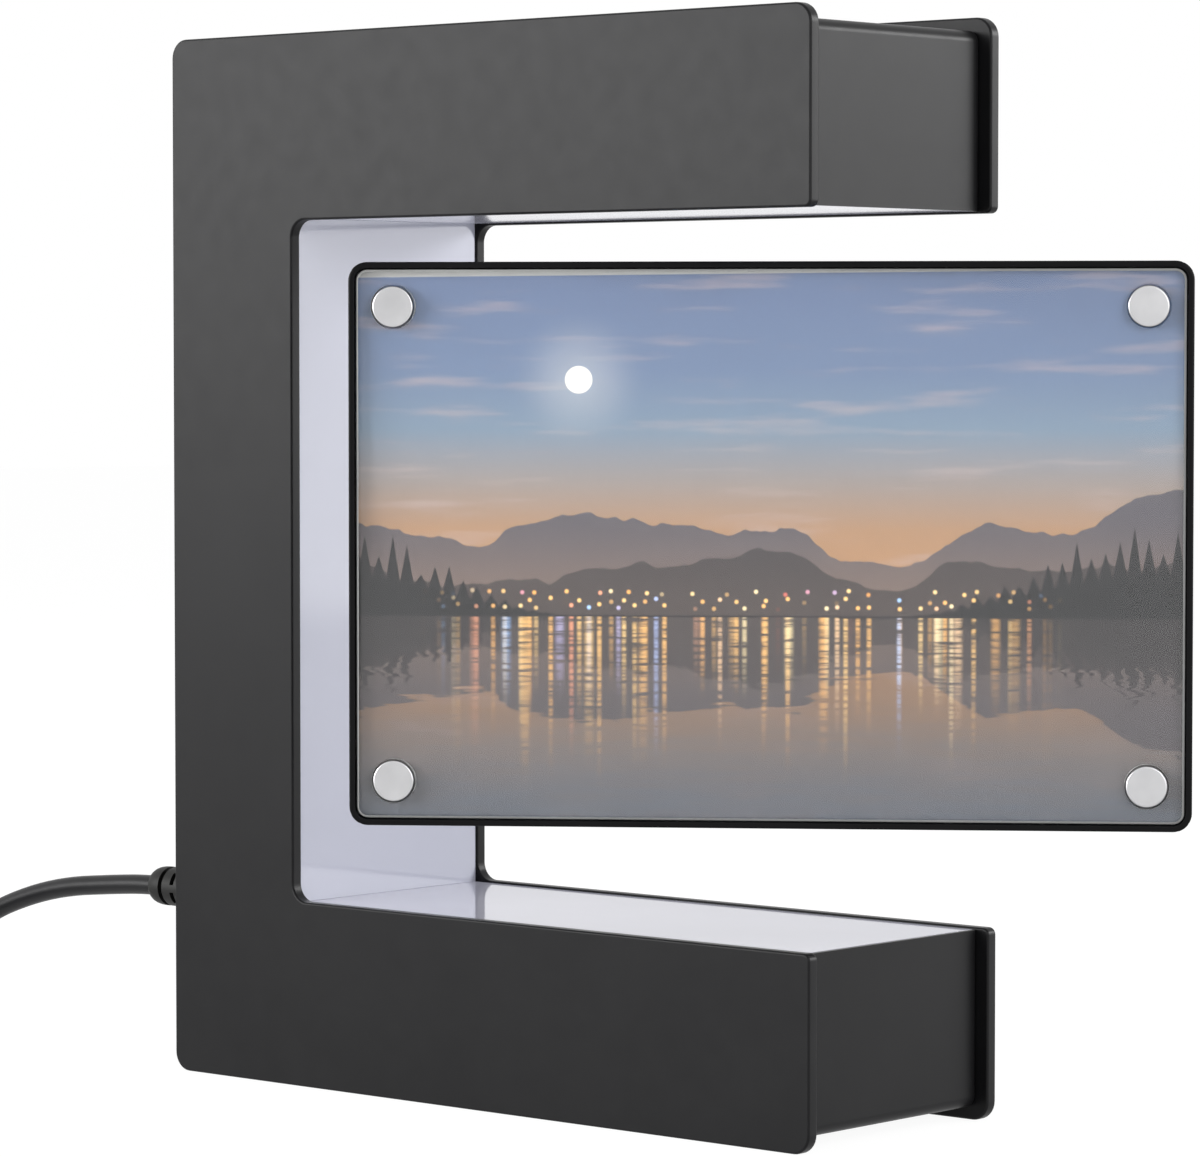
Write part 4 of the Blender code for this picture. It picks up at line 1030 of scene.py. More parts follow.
# %% Scenery above the water
SHEET_ASPECT = 1.5
SKY = (
    (0.00, (0.42, 0.22, 0.10)),
    (0.25, (0.35, 0.205, 0.115)),
    (0.38, (0.26, 0.220, 0.200)),
    (0.54, (0.155, 0.215, 0.285)),
    (0.71, (0.115, 0.165, 0.265)),
    (1.00, (0.100, 0.142, 0.248)),
)
CLOUD_STRETCH = (3.0, 17.0)
CLOUD_EDGE = (0.52, 0.75)
CLOUD_SHARE = 0.45
CLOUD_COLOUR = (0.42, 0.33, 0.31)
MOON = (0.27, 0.80)
MOON_RADIUS = 0.026
MOON_EDGE = 0.92 * MOON_RADIUS
MOON_COLOUR = (0.80, 0.77, 0.70)
HALO_RADIUS = 5 * MOON_RADIUS
HALO_SHARE = 0.35
HALO_COLOUR = (0.55, 0.55, 0.55)
HAZE_HEIGHT = 0.20
# Each ridge: scale, detail and offset of its line, height, foot, colours at its foot and top
RIDGES = (
    (2.6, 6.0, 4.2, 0.32, 0.0, (0.17, 0.120, 0.098), (0.085, 0.078, 0.090)),
    (3.7, 8.0, 11.6, 0.24, -0.035, (0.060, 0.046, 0.043), (0.032, 0.029, 0.033)),
)


def moon_on(tree, across, up, colour):
    beside = calc(tree, "MULTIPLY", calc(tree, "SUBTRACT", across, MOON[0]), SHEET_ASPECT)
    from_moon = radius_of(tree, beside, calc(tree, "SUBTRACT", up, MOON[1]))
    halo = falling(tree, from_moon, 0.0, HALO_RADIUS)
    colour = mix_colour(tree, calc(tree, "MULTIPLY", halo, HALO_SHARE), colour, HALO_COLOUR)
    disc = falling(tree, from_moon, MOON_EDGE, MOON_RADIUS)
    return mix_colour(tree, disc, colour, MOON_COLOUR)


def scenery(tree, across, up):
    sky_share = calc(tree, "DIVIDE", calc(tree, "SUBTRACT", up, WATERLINE), 1.0 - WATERLINE)
    colour = ramp(tree, sky_share, *SKY)
    cloud = noise(tree, stretched(tree, across, up, *CLOUD_STRETCH), scale=1.6, detail=5.0)
    thin_cloud = calc(tree, "MULTIPLY", rising(tree, cloud, *CLOUD_EDGE), CLOUD_SHARE)
    colour = mix_colour(tree, thin_cloud, colour, CLOUD_COLOUR)
    colour = moon_on(tree, across, up, colour)
    haze = rising(tree, up, WATERLINE, WATERLINE + HAZE_HEIGHT)
    for scale, detail, offset, height, foot, foot_colour, top_colour in RIDGES:
        line = wave(tree, across, scale, detail, offset)
        ridge = calc(tree, "MULTIPLY_ADD", line, height, WATERLINE + foot)
        hill = mix_colour(tree, haze, foot_colour, top_colour)
        colour = mix_colour(tree, below(tree, up, ridge), colour, hill)
    shore = calc(tree, "ADD", pines(tree, across), WATERLINE)
    return mix_colour(tree, below(tree, up, shore), colour, PINE_COLOUR)


print("scenery has", len(SKY), "sky colours and", len(RIDGES), "ridges")

# %% [markdown]
# Lamps are dots along the shore in three rows. Each row is cut into cells, and chance decides
# whether a cell's lamp is lit, where in the cell it hangs, and its colour.

# %% Village lamps
LAMP_CELLS = 52.0
LAMP_COLOURS = (
    (0.00, (0.95, 0.42, 0.10)),
    (0.35, (0.98, 0.62, 0.22)),
    (0.60, (0.95, 0.78, 0.45)),
    (0.80, (0.85, 0.16, 0.08)),
    (0.92, (0.35, 0.55, 0.90)),
)
# Each row of lamps: its seed and its height above the water
LAMP_ROWS = ((0.0, 0.010), (31.4, 0.022), (77.2, 0.036))
LAMP_RISE = 0.012
LAMP_DOT = (0.05, 0.20)
LAMP_LIT = (0.25, 0.45)
PLACE_SEED = 0.37
COLOUR_SEED = 0.71
VILLAGE_MIDDLE = 0.47
VILLAGE_REACH = (0.24, 0.40)


def lamp_row(tree, across, cells, seed):
    """How far each point is from its cell's lamp, how lit that is, its chance and its colour."""
    place = calc(tree, "MULTIPLY_ADD", across, cells, seed)
    cell = calc(tree, "FLOOR", place)
    luck = chance(tree, cell)
    hangs_at = calc(tree, "MULTIPLY_ADD", chance(tree, calc(tree, "ADD", cell, PLACE_SEED)), 0.5, 0.25)
    away = away_from(tree, calc(tree, "FRACT", place), hangs_at)
    village = falling(tree, away_from(tree, across, VILLAGE_MIDDLE), *VILLAGE_REACH)
    lit = calc(tree, "MULTIPLY", rising(tree, luck, *LAMP_LIT), village)
    colour = ramp(tree, chance(tree, calc(tree, "ADD", cell, COLOUR_SEED)), *LAMP_COLOURS)
    return away, lit, luck, colour


def lamps_on(tree, across, up, colour):
    for seed, lift in LAMP_ROWS:
        away, lit, luck, lamp = lamp_row(tree, across, LAMP_CELLS, seed)
        height = calc(tree, "MULTIPLY_ADD", luck, LAMP_RISE, WATERLINE + lift)
        above = calc(tree, "MULTIPLY", calc(tree, "SUBTRACT", up, height), LAMP_CELLS / SHEET_ASPECT)
        dot = falling(tree, radius_of(tree, away, above), *LAMP_DOT)
        colour = mix_colour(tree, calc(tree, "MULTIPLY", dot, lit), colour, lamp)
    return colour


print(len(LAMP_ROWS), "rows of lamps")

# %% [markdown]
# The water shows the scenery upside down. A ripple sways it, more so towards the viewer, and
# it darkens with depth. Below each lamp runs a broken streak in the lamp's colour.

# %% Water
# Each row of streaks: its seed and its number of cells
STREAK_ROWS = ((0.0, LAMP_CELLS), (31.4, LAMP_CELLS), (9.5, 0.55 * LAMP_CELLS))
STREAK_STRETCH = (22.0, 150.0)
STREAK_BREAKS = (0.30, 0.62)
STREAK_WIDTH = (0.02, 0.24)
STREAK_LEAST = 0.04
STREAK_SPREAD = 0.30
STREAK_SHARE = 0.70
RIPPLE_STRETCH = (9.0, 90.0)
SWAY_LEAST = 0.02
SWAY_GROWTH = 0.25
MIRROR_HEIGHT = 0.95
DEEP_WATER = (0.050, 0.042, 0.043)
DEEP_LEAST = 0.44
DEEP_GROWTH = 0.30


def streaks_on(tree, across, up, colour):
    depth = calc(tree, "SUBTRACT", WATERLINE, up)
    ripple = noise(tree, stretched(tree, across, up, *STREAK_STRETCH), scale=1.0)
    broken = rising(tree, ripple, *STREAK_BREAKS)
    for seed, cells in STREAK_ROWS:
        away, lit, luck, lamp = lamp_row(tree, across, cells, seed)
        band = falling(tree, away, *STREAK_WIDTH)
        reach = calc(tree, "MULTIPLY_ADD", luck, STREAK_SPREAD, STREAK_LEAST)
        fade = falling(tree, depth, 0.0, reach)
        lit_band = calc(tree, "MULTIPLY", band, lit)
        share = calc(tree, "MULTIPLY", lit_band, calc(tree, "MULTIPLY", fade, broken))
        colour = mix_colour(tree, calc(tree, "MULTIPLY", share, STREAK_SHARE), colour, lamp)
    return colour


def water(tree, across, up):
    depth = calc(tree, "SUBTRACT", WATERLINE, up)
    ripple = noise(tree, stretched(tree, across, up, *RIPPLE_STRETCH), scale=1.0, detail=3.0)
    swing = calc(tree, "MULTIPLY_ADD", depth, SWAY_GROWTH, SWAY_LEAST)
    sway = calc(tree, "MULTIPLY", calc(tree, "SUBTRACT", ripple, 0.5), swing)
    mirrored = calc(tree, "ADD", calc(tree, "MULTIPLY_ADD", depth, MIRROR_HEIGHT, WATERLINE), sway)
    colour = scenery(tree, calc(tree, "ADD", across, sway), mirrored)
    deep = calc(tree, "MULTIPLY_ADD", rising(tree, depth, 0.0, WATERLINE), DEEP_GROWTH, DEEP_LEAST)
    return streaks_on(tree, across, up, mix_colour(tree, deep, colour, DEEP_WATER))


print(len(STREAK_ROWS), "rows of streaks")

# %% [markdown]
# Land and water meet at the waterline, and the trim's slanting line leaves the paper bare
# above it. The paper has a fine grain, which gives it the dull sheen of a photo print.

# %% The whole print
WATER_EDGE = 0.002
TRIM_LEFT = 0.985
TRIM_RIGHT = 0.998
TRIM_BLUR = 0.002
BARE_PAPER = (0.40, 0.40, 0.385)
PAPER_GRAIN = 2600.0


def lake_print(name):
    material, tree, shader = new_finish(name)
    sheet = tree.nodes.new("ShaderNodeUVMap")
    sheet.uv_map = "sheet"
    parts = node(tree, "ShaderNodeSeparateXYZ", Vector=sheet.outputs["UV"])
    across = parts.outputs["X"]
    up = parts.outputs["Y"]
    land = lamps_on(tree, across, up, scenery(tree, across, up))
    on_land = rising(tree, up, WATERLINE - WATER_EDGE, WATERLINE)
    picture = mix_colour(tree, on_land, water(tree, across, up), land)
    trim = calc(tree, "MULTIPLY_ADD", across, TRIM_RIGHT - TRIM_LEFT, TRIM_LEFT)
    bare = rising(tree, calc(tree, "SUBTRACT", up, trim), 0.0, TRIM_BLUR)
    tree.links.new(mix_colour(tree, bare, picture, BARE_PAPER), shader.inputs["Base Color"])
    grain = noise(tree, surface_place(tree), PAPER_GRAIN)
    tree.links.new(spread(tree, grain, low=0.33, high=0.40), shader.inputs["Roughness"])
    shader.inputs["Specular IOR Level"].default_value = 0.25
    return material


lake = lake_print("lake at dusk print")
print("print has", len(lake.node_tree.nodes), "nodes")

# %% [markdown]
# The sheets themselves lie on the web, one facing the front and one the rear. Each one's UV
# map is laid over it so that its picture reads the right way round from its own side.

# %% Prints
PRINT_BACK = 2.8 * MM
PRINT_FACE = 3.1 * MM
SHEET_GAP = 0.3 * MM
sheet_half_x = picture_half.x - RIM_WALL - SHEET_GAP
sheet_half_z = picture_half.z - RIM_WALL - SHEET_GAP
SHEET_CORNER = PICTURE_CORNER - RIM_WALL - SHEET_GAP


def lay_uv(piece, side):
    """Lay the sheet's UV map over it, the right way round for its side."""
    layer = piece.data.uv_layers.new(name="sheet")
    for loop in piece.data.loops:
        place = piece.data.vertices[loop.vertex_index].co
        across = -side * place.x / (2 * sheet_half_x) + 0.5
        layer.data[loop.index].uv = (across, place.z / (2 * sheet_half_z) + 0.5)


def paper_sheet(name, side):
    front, rear = sorted((side * PRINT_BACK, side * PRINT_FACE))
    sheet = block(name, (-sheet_half_x, front, -sheet_half_z), (sheet_half_x, rear, sheet_half_z))
    round_edges(sheet, SHEET_CORNER, segments=8, test=along(1))
    polish(sheet)
    while sheet.data.uv_layers:
        sheet.data.uv_layers.remove(sheet.data.uv_layers[0])
    lay_uv(sheet, side)
    settle(sheet, to_picture)
    return sheet


for face, side in (("front", -1), ("rear", 1)):
    dress(paper_sheet(f"{face}_photo_sheet", side), "picture", f"{face}_print", lake)
print("two prints laid")

# %% [markdown]
# ## Clear covers
# A cover is a plate of clear acrylic with a fine bevel, which catches the light as a pale line
# inside the black rim. The bevel is an inset with depth, so it keeps one width round the
# corners. Four holes take the metal discs. All that a saw or a drill has touched is frosted,
# so those faces get a second finish. Light passes through a clear plate, so the covers cast no
# shadow on their prints.

# %% Clear covers
COVER_FACE = 5.8 * MM
COVER_BACK = 3.4 * MM
COVER_BEVEL = 0.4 * MM
COVER_BEVEL_DEPTH = 0.4 * MM
DISC_HOLE = 4.0 * MM
ACRYLIC_COLOUR = (0.98, 0.985, 0.99, 1.0)
ACRYLIC_IOR = 1.49


def clear_acrylic(name):
    material, tree, shader = new_finish(name)
    place = surface_place(tree)
    smear = noise(tree, place, scale=60.0, detail=3.0)
    tree.links.new(spread(tree, smear, low=0.006, high=0.020), shader.inputs["Roughness"])
    shader.inputs["Base Color"].default_value = ACRYLIC_COLOUR
    shader.inputs["Transmission Weight"].default_value = 1.0
    shader.inputs["IOR"].default_value = ACRYLIC_IOR
    return material


def cover_plate(name, side):
    """A cover made for the rear, and turned half round for the front."""
    plate = block(name, (-sheet_half_x, COVER_BACK, -sheet_half_z),
                  (sheet_half_x, COVER_FACE - COVER_BEVEL_DEPTH, sheet_half_z))
    round_edges(plate, SHEET_CORNER, segments=8, test=along(1))
    pick(plate, "FACE", lambda face: face.normal.y > 0.9)
    bpy.ops.mesh.inset(thickness=COVER_BEVEL, depth=COVER_BEVEL_DEPTH)
    leave(plate)
    for x, z in CORNERS:
        hole_at = Vector((x * disc_x, 0.0, z * disc_z))
        cut(plate, bar("disc_hole", hole_at, hole_at + Vector((0.0, 2 * COVER_FACE, 0.0)), DISC_HOLE))
    polish(plate, angle=20.0)
    turn = Matrix.Rotation(math.pi if side < 0 else 0.0, 4, "Z")
    settle(plate, to_picture @ turn)
    return plate


def worked(polygon):
    """Test for the faces that don't look straight to the front or rear."""
    return abs(polygon.normal.dot(front_way)) < 0.95


acrylic = clear_acrylic("clear acrylic")
frosted = moulded("frosted acrylic edge", (0.36, 0.365, 0.36), (0.44, 0.445, 0.44),
                  rough=0.45, specular=0.3)
for face, side in (("front", -1), ("rear", 1)):
    plate = cover_plate(f"{face}_cover_plate", side)
    plate.visible_shadow = False
    dress(plate, f"{face}_cover", f"{face}_cover", acrylic)
    second_finish(plate, frosted, worked)
print("two covers made")

# %% [markdown]
# ## Corner discs
# Each cover is held by four steel discs in its corners. A disc is a short turned cylinder
# with a bright chamfer round a slightly sunken satin face. It is modelled once, and the
# other seven are copies with meshes of their own.

# %% Corner discs
DISC_RADIUS = 3.72 * MM
DISC_THICKNESS = 2.2 * MM
DISC_PROUD = 0.15 * MM
DISC_CHAMFER = 0.3 * MM
DISC_RING = 0.25 * MM
DISC_SINK = 0.05 * MM
DISC_SIDES = 64


def corner_disc(name):
    disc = start(name, bpy.ops.mesh.primitive_cylinder_add,
                 vertices=DISC_SIDES, radius=DISC_RADIUS, depth=DISC_THICKNESS,
                 location=(0.0, 0.0, -DISC_THICKNESS / 2))
    round_edges(disc, DISC_CHAMFER, segments=3, test=meets_face(2, 1))
    pick(disc, "FACE", lambda face: face.normal.z > 0.99)
    bpy.ops.mesh.inset(thickness=DISC_RING, depth=-DISC_SINK)
    polish(disc, angle=50.0)
    return disc


def copy_of(piece, name):
    twin = piece.copy()
    twin.data = piece.data.copy()
    twin.name = name
    twin.data.name = name
    bpy.context.scene.collection.objects.link(twin)
    return twin


pattern = corner_disc("disc_pattern")
for face, side in (("front", -1), ("rear", 1)):
    for number in range(1, len(CORNERS) + 1):
        low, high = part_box(f"{face}_disc_{number}")
        face_of_disc = to_picture.inverted() @ ((low + high) / 2)
        face_of_disc.y = side * (COVER_FACE + DISC_PROUD)
        place = Matrix.Translation(face_of_disc)
        turn = Matrix.Rotation(-side * math.pi / 2, 4, "X")
        disc = copy_of(pattern, f"{face}_corner_disc_{number}")
        settle(disc, to_picture @ place @ turn)
        dress(disc, f"{face}_cover", f"{face}_disc_{number}", nickel)
bpy.data.objects.remove(pattern, do_unlink=True)
print(2 * len(CORNERS), "corner discs")

# %% [markdown]
# ## Cord boot
# The boot is a turned piece of rubber with a domed end, one groove and rows of slots that let
# it bend. Its profile is a list of rings, from the flange inside the wall, through the neck in
# the wall's hole and the collar outside it, to the dome where the cord comes out.

# %% Profile of the boot
BOOT_RADIUS = 3.95 * MM
BOOT_DOME = 3.3 * MM
BOOT_TAIL = CORD_DIAMETER / 2 + 0.3 * MM
BOOT_GROOVE = 1.1 * MM
BOOT_GROOVE_DEPTH = 0.9 * MM
BOOT_GROOVE_BACK = 0.7 * MM
BOOT_COLLAR = 3.0 * MM
BOOT_COLLAR_RADIUS = 5.2 * MM
BOOT_NECK_RADIUS = 3.4 * MM
BOOT_FLANGE_RADIUS = 5.0 * MM
BOOT_FLANGE = 1.5 * MM
BOOT_SLOT = 1.1 * MM
BOOT_SLOT_PITCH = 3.35 * MM
BOOT_SLOT_ROWS = 7
WALL_GAP = 0.3 * MM
DOME_STEPS = 6
DOME_FULLNESS = 0.8
boot_reach = band_low.x - boot_low.x
shoulder = boot_reach - BOOT_DOME
groove_low = shoulder - BOOT_GROOVE_BACK - BOOT_GROOVE
slot_rows = [groove_low + BOOT_GROOVE / 2 - BOOT_SLOT_PITCH * row for row in range(1, BOOT_SLOT_ROWS + 1)]


def boot_profile():
    """Rings of the boot as (radius, height from the wall's outer face)."""
    inside = -BAND_WALL - WALL_GAP
    profile = [
        (BOOT_FLANGE_RADIUS, inside - BOOT_FLANGE),
        (BOOT_FLANGE_RADIUS, inside),
        (BOOT_NECK_RADIUS, inside),
        (BOOT_NECK_RADIUS, WALL_GAP),
        (BOOT_COLLAR_RADIUS, WALL_GAP),
        (BOOT_COLLAR_RADIUS, BOOT_COLLAR),
        (BOOT_RADIUS, BOOT_COLLAR),
    ]
    for middle_of_row in reversed(slot_rows):
        profile.append((BOOT_RADIUS, middle_of_row - BOOT_SLOT / 2))
        profile.append((BOOT_RADIUS, middle_of_row + BOOT_SLOT / 2))
    floor_of_groove = BOOT_RADIUS - BOOT_GROOVE_DEPTH
    profile += [
        (BOOT_RADIUS, groove_low),
        (floor_of_groove, groove_low),
        (floor_of_groove, groove_low + BOOT_GROOVE),
        (BOOT_RADIUS, groove_low + BOOT_GROOVE),
    ]
    for step in range(DOME_STEPS + 1):
        turn = step / DOME_STEPS * math.pi / 2
        radius = BOOT_TAIL + (BOOT_RADIUS - BOOT_TAIL) * math.cos(turn) ** DOME_FULLNESS
        profile.append((radius, shoulder + BOOT_DOME * math.sin(turn)))
    return profile


rings = boot_profile()
print("boot of", len(rings), "rings")

# %% [markdown]
# The boot is drawn out ring by ring from a disc, like a spyglass: each step extrudes the last
# face and scales it to the next radius. The slots are faces of a ring pushed in, and every
# second row is turned by half a step.

# %% Cord boot
BOOT_SIDES = 64
BOOT_SLOT_DEPTH = 1.0 * MM
SLOTS_PER_ROW = 6
SLOT_HALF_ANGLE = math.radians(18.0)


def drawn_out(name, profile, vertices):
    """A turned piece drawn along +Z through (radius, height) rings."""
    radius, height = profile[0]
    piece = start(name, bpy.ops.mesh.primitive_circle_add,
                  vertices=vertices, radius=radius, fill_type="NGON", location=(0.0, 0.0, height))
    pick(piece, "FACE", lambda face: True)
    for next_radius, next_height in profile[1:]:
        extrude((0.0, 0.0, next_height - height))
        grow = next_radius / radius
        bpy.ops.transform.resize(value=(grow, grow, 1.0), center_override=(0.0, 0.0, next_height))
        radius = next_radius
        height = next_height
    bpy.ops.mesh.select_all(action="SELECT")
    bpy.ops.mesh.normals_make_consistent(inside=False)
    leave(piece)
    return piece


def in_slot(face):
    """Test for the faces of the outer rings that are pushed in."""
    place = middle(face)
    if abs(face.normal.z) > 0.1 or place.xy.length < 0.9 * BOOT_RADIUS:
        return False
    for row, height in enumerate(slot_rows):
        if abs(place.z - height) < 0.1 * MM:
            step = 2 * math.pi / SLOTS_PER_ROW
            first = step * 0.5 * (row % 2)
            away = (math.atan2(place.y, place.x) - first + step / 2) % step - step / 2
            return abs(away) < SLOT_HALF_ANGLE
    return False


def slotted_boot():
    boot = drawn_out("slotted_boot", rings, BOOT_SIDES)
    pick(boot, "FACE", in_slot)
    bpy.ops.mesh.extrude_region_shrink_fatten(TRANSFORM_OT_shrink_fatten={"value": -BOOT_SLOT_DEPTH})
    polish(boot, angle=35.0)
    settle(boot, Matrix.Translation((band_low.x, 0.0, boot_height)) @ Matrix.Rotation(-math.pi / 2, 4, "Y"))
    return boot


boot = slotted_boot()
dress(boot, "stand", "cord_boot", boot_rubber)
print("boot:", len(boot.data.polygons), "faces")

# %% [markdown]
# ## Plug
# The cord ends in a flat plug. Its grip is a moulded block with rounded edges and a thumb pad
# on either side. The pads are sunk first. Cuts across the grip then divide them into strips,
# and every second strip is raised into a rib.

# %% Grip of the plug
GRIP_EDGE = 1.6 * MM
PAD_MARGIN = 2.2 * MM
PAD_DEPTH = 0.5 * MM
RIB_COUNT = 5
RIB_RAISE = 0.7 * PAD_DEPTH


def plug_grip():
    """The grip with its two ribbed pads."""
    grip = block("plug_grip_moulding", grip_low, grip_high)
    round_edges(grip, GRIP_EDGE, segments=5, test=lambda edge: True)
    for side in (-1, 1):
        pick(grip, "FACE", lambda face: face.normal.z * side > 0.99)
        bpy.ops.mesh.inset(thickness=PAD_MARGIN - GRIP_EDGE)
        extrude((0.0, 0.0, -side * PAD_DEPTH))
        leave(grip)
    pad_low = grip_low.x + PAD_MARGIN
    rib = (grip_high.x - grip_low.x - 2 * PAD_MARGIN) / (2 * RIB_COUNT + 1)
    for number in range(1, 2 * RIB_COUNT + 1):
        slice_at(grip, (pad_low + rib * number, 0.0, 0.0), (1.0, 0.0, 0.0))
    leave(grip)
    half_height = (grip_high.z - grip_low.z) / 2 - PAD_DEPTH

    def on_rib(face):
        place = middle(face)
        on_pad = abs(abs(place.z - plug_tail.z) - half_height) < 0.01 * MM and abs(face.normal.z) > 0.99
        return on_pad and int((place.x - pad_low) / rib) % 2 == 1

    pick(grip, "FACE", on_rib)
    bpy.ops.mesh.extrude_region_shrink_fatten(TRANSFORM_OT_shrink_fatten={"value": RIB_RAISE})
    polish(grip, angle=30.0)
    return grip


grip = plug_grip()
dress(grip, "stand", "plug_grip", boot_rubber)
print("grip:", len(grip.data.polygons), "faces,", RIB_COUNT, "ribs a side")

# %% [markdown]
# The plug's shell is a folded metal box, open at its end, with two spring windows. Inside it a
# nylon tongue carries four contacts, made as the ribs were: cut into strips, with every
# second strip raised.

# %% Shell and tongue of the plug
SHELL_WALL = 0.4 * MM
WINDOW_SIDE = 2.0 * MM
WINDOW_SPREAD = 2.9 * MM
CONTACT_COUNT = 4
CONTACT_RAISE = 0.12 * MM
shell_low, shell_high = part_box("plug_shell")
tongue_low, tongue_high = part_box("plug_tongue")


def plug_shell():
    """The open box with its two windows."""
    shell = block("plug_metal_shell", shell_low, shell_high)
    round_edges(shell, SHELL_WALL, segments=3, test=along(0))
    pick(shell, "FACE", lambda face: face.normal.x > 0.9)
    bpy.ops.mesh.inset(thickness=SHELL_WALL)
    extrude((shell_low.x - shell_high.x + SHELL_WALL, 0.0, 0.0))
    leave(shell)
    x = (shell_low.x + shell_high.x) / 2
    for side in (-1, 1):
        y = plug_tail.y + side * WINDOW_SPREAD
        low = Vector((x - WINDOW_SIDE / 2, y - WINDOW_SIDE / 2, shell_high.z - 2 * SHELL_WALL))
        cut(shell, block("spring_window", low, low + Vector((WINDOW_SIDE, WINDOW_SIDE, SPARE))))
    polish(shell, angle=30.0)
    return shell


def plug_tongue():
    """The tongue with its raised contacts."""
    tongue = block("plug_contact_tongue", tongue_low, tongue_high)
    stripe = (tongue_high.y - tongue_low.y) / (2 * CONTACT_COUNT + 1)
    for number in range(1, 2 * CONTACT_COUNT + 1):
        slice_at(tongue, (0.0, tongue_low.y + stripe * number, 0.0), (0.0, 1.0, 0.0))
    leave(tongue)

    def on_contact(face):
        return face.normal.z < -0.9 and int((middle(face).y - tongue_low.y) / stripe) % 2 == 1

    pick(tongue, "FACE", on_contact)
    extrude((0.0, 0.0, -CONTACT_RAISE))
    polish(tongue, angle=30.0)
    return tongue


white_nylon = moulded("white nylon", (0.70, 0.70, 0.68), (0.76, 0.76, 0.74), rough=0.42, grain=0.06)
shell = plug_shell()
tongue = plug_tongue()
dress(shell, "stand", "plug_shell", zinc)
dress(tongue, "stand", "plug_tongue", white_nylon)
print("shell with its tongue and", CONTACT_COUNT, "contacts")

# %% [markdown]
# ## Cord tie
# A soft hook-and-loop strap holds the coil on the side nearest the stand. It is a band with
# open ends: a block whose two end faces are inset and bridged, drawn down on the inner side
# where the coil has fewer layers, with a short tail folded over on top.

# %% Cord tie
TIE_WIDTH = 8.0 * MM
TIE_THICKNESS = 0.4 * MM
TIE_TAIL = 7.0 * MM
TIE_TAIL_SINK = 0.05 * MM
TIE_TAIL_MARGIN = 1.0 * MM
TIE_STEP_DOWN = 3.7 * MM
TIE_STEP_AT = 0.42
TIE_SLACK = 0.1 * MM
TIE_EDGE = 0.12 * MM
coil_inner = coil_middle.x + INNER_TURN - CORD_DIAMETER / 2
coil_outer = coil_middle.x + OUTER_TURN + CORD_DIAMETER / 2
coil_top = third_layer + CORD_DIAMETER / 2


def cord_tie():
    """The strap round the coil's layers, with its tail."""
    low = Vector((coil_inner - TIE_SLACK - TIE_THICKNESS, coil_middle.y - TIE_WIDTH / 2, coil_low.z))
    high = Vector((coil_outer + TIE_THICKNESS, coil_middle.y + TIE_WIDTH / 2, coil_top + TIE_THICKNESS))
    strap = block("cord_tie", low, high)
    slice_at(strap, (low.x + TIE_STEP_AT * (high.x - low.x), 0.0, 0.0), (1.0, 0.0, 0.0))
    leave(strap)
    pick(strap, "VERT", lambda vert: vert.co.x < low.x + MM and vert.co.z > high.z - MM)
    bpy.ops.transform.translate(value=(0.0, 0.0, -TIE_STEP_DOWN))
    leave(strap)
    pick(strap, "FACE", lambda face: abs(face.normal.y) > 0.9)
    bpy.ops.mesh.dissolve_faces()
    bpy.ops.mesh.inset(thickness=TIE_THICKNESS)
    bpy.ops.mesh.bridge_edge_loops()
    leave(strap)
    tail_low = Vector((high.x - TIE_TAIL, low.y + TIE_TAIL_MARGIN, high.z - TIE_TAIL_SINK))
    tail_high = Vector((high.x - TIE_TAIL_MARGIN, high.y - TIE_TAIL_MARGIN, high.z + TIE_THICKNESS))
    cut(strap, block("tie_tail", tail_low, tail_high), "UNION")
    round_edges(strap, TIE_EDGE, segments=2, test=lambda edge: edge.calc_face_angle(0.0) > math.radians(50.0))
    polish(strap)
    return strap


def woven_strap(name):
    material, tree, shader = new_finish(name)
    place = surface_place(tree)
    threads = []
    for direction in ("X", "Y"):
        thread = node(tree, "ShaderNodeTexWave", Vector=place, Scale=420.0, Distortion=0.6)
        thread.bands_direction = direction
        threads.append(thread.outputs["Fac"])
    weave = calc(tree, "MULTIPLY", *threads)
    tree.links.new(ramp(tree, weave, (0.0, (0.012, 0.012, 0.013)), (1.0, (0.035, 0.035, 0.037))),
                   shader.inputs["Base Color"])
    shader.inputs["Roughness"].default_value = 0.85
    shader.inputs["Sheen Weight"].default_value = 0.3
    grain_bump(tree, shader, weave, strength=0.5, distance=0.1 * MM)
    return material


tie = cord_tie()
tie.data.materials.clear()
tie.data.materials.append(woven_strap("woven black strap"))
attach(tie, "stand")
print("tie:", len(tie.data.polygons), "faces")

# %% [markdown]
# ## Inside
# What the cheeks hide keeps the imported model's own shapes, which are already right. Each of
# these nodes only gets a finish: glass-fibre boards, copper wire, steel, epoxy and foam.

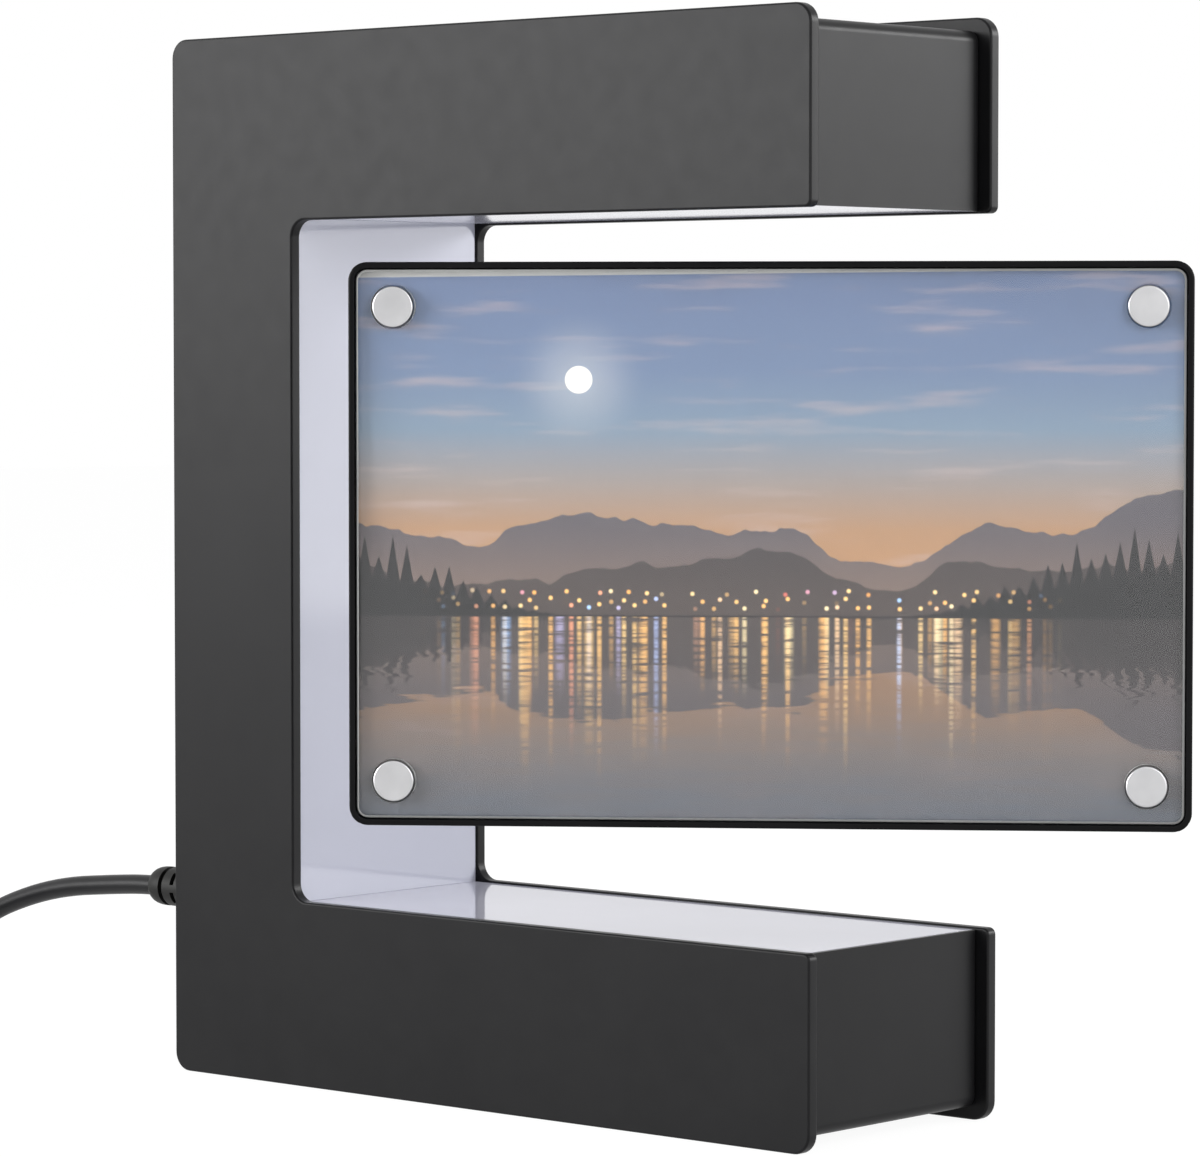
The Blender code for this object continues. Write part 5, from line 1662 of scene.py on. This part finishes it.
# %% Finishes for the inside
def circuit_board(name):
    material, tree, shader = new_finish(name)
    place = surface_place(tree)
    tracks = node(tree, "ShaderNodeTexBrick", Vector=place, Scale=160.0, Mortar_Size=0.035)
    fill = noise(tree, place, scale=300.0, detail=3.0)
    green = ramp(tree, fill, (0.3, (0.012, 0.085, 0.038)), (0.7, (0.020, 0.115, 0.052)))
    on_track = calc(tree, "MULTIPLY", tracks.outputs["Fac"], 0.5)
    tree.links.new(mix_colour(tree, on_track, green, (0.10, 0.26, 0.10)), shader.inputs["Base Color"])
    tree.links.new(spread(tree, fill, low=0.28, high=0.40), shader.inputs["Roughness"])
    grain_bump(tree, shader, tracks.outputs["Fac"], strength=0.2, distance=0.03 * MM)
    return material


def wound_copper(name):
    material, tree, shader = new_finish(name)
    place = surface_place(tree)
    turns_of_wire = node(tree, "ShaderNodeTexWave", Vector=place, Scale=500.0, Distortion=0.4)
    turns_of_wire.bands_direction = "Z"
    wire = turns_of_wire.outputs["Fac"]
    copper = ramp(tree, wire, (0.0, (0.36, 0.13, 0.05)), (1.0, (0.72, 0.32, 0.14)))
    tree.links.new(copper, shader.inputs["Base Color"])
    shader.inputs["Metallic"].default_value = 1.0
    tree.links.new(spread(tree, wire, low=0.38, high=0.24), shader.inputs["Roughness"])
    grain_bump(tree, shader, wire, strength=0.4, distance=0.1 * MM)
    return material


def finish_nodes(material, *names):
    """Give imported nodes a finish."""
    for name in names:
        for slot in frame["nodes"][name].material_slots:
            slot.material = material


board_green = circuit_board("green circuit board")
epoxy = moulded("black epoxy", (0.012, 0.012, 0.013), (0.020, 0.020, 0.021), rough=0.50, grain=0.15)
foam = moulded("grey foam tape", (0.16, 0.16, 0.17), (0.24, 0.24, 0.25),
               rough=0.85, grain_scale=700.0, grain=0.6)
finish_nodes(board_green, "control_board", "sensor_board")
finish_nodes(wound_copper("copper wire"), "magnet_winding", "coil_lead", "light_lead")
finish_nodes(zinc, "magnet_core")
finish_nodes(nickel, "lift_magnet", *[f"corner_magnet_{number}" for number in range(1, len(CORNERS) + 1)])
finish_nodes(white_nylon, "magnet_bobbin", "upper_led_strip", "spine_led_strip", "lower_led_strip",
             "coil_terminal", "power_terminal", "light_terminal")
finish_nodes(epoxy, "hall_sensor", "driver_chip", "inductor")
finish_nodes(rim_plastic, "capacitor")
finish_nodes(foam, "board_pad")
finish_nodes(cord_rubber, "power_lead")
print("inside finished")
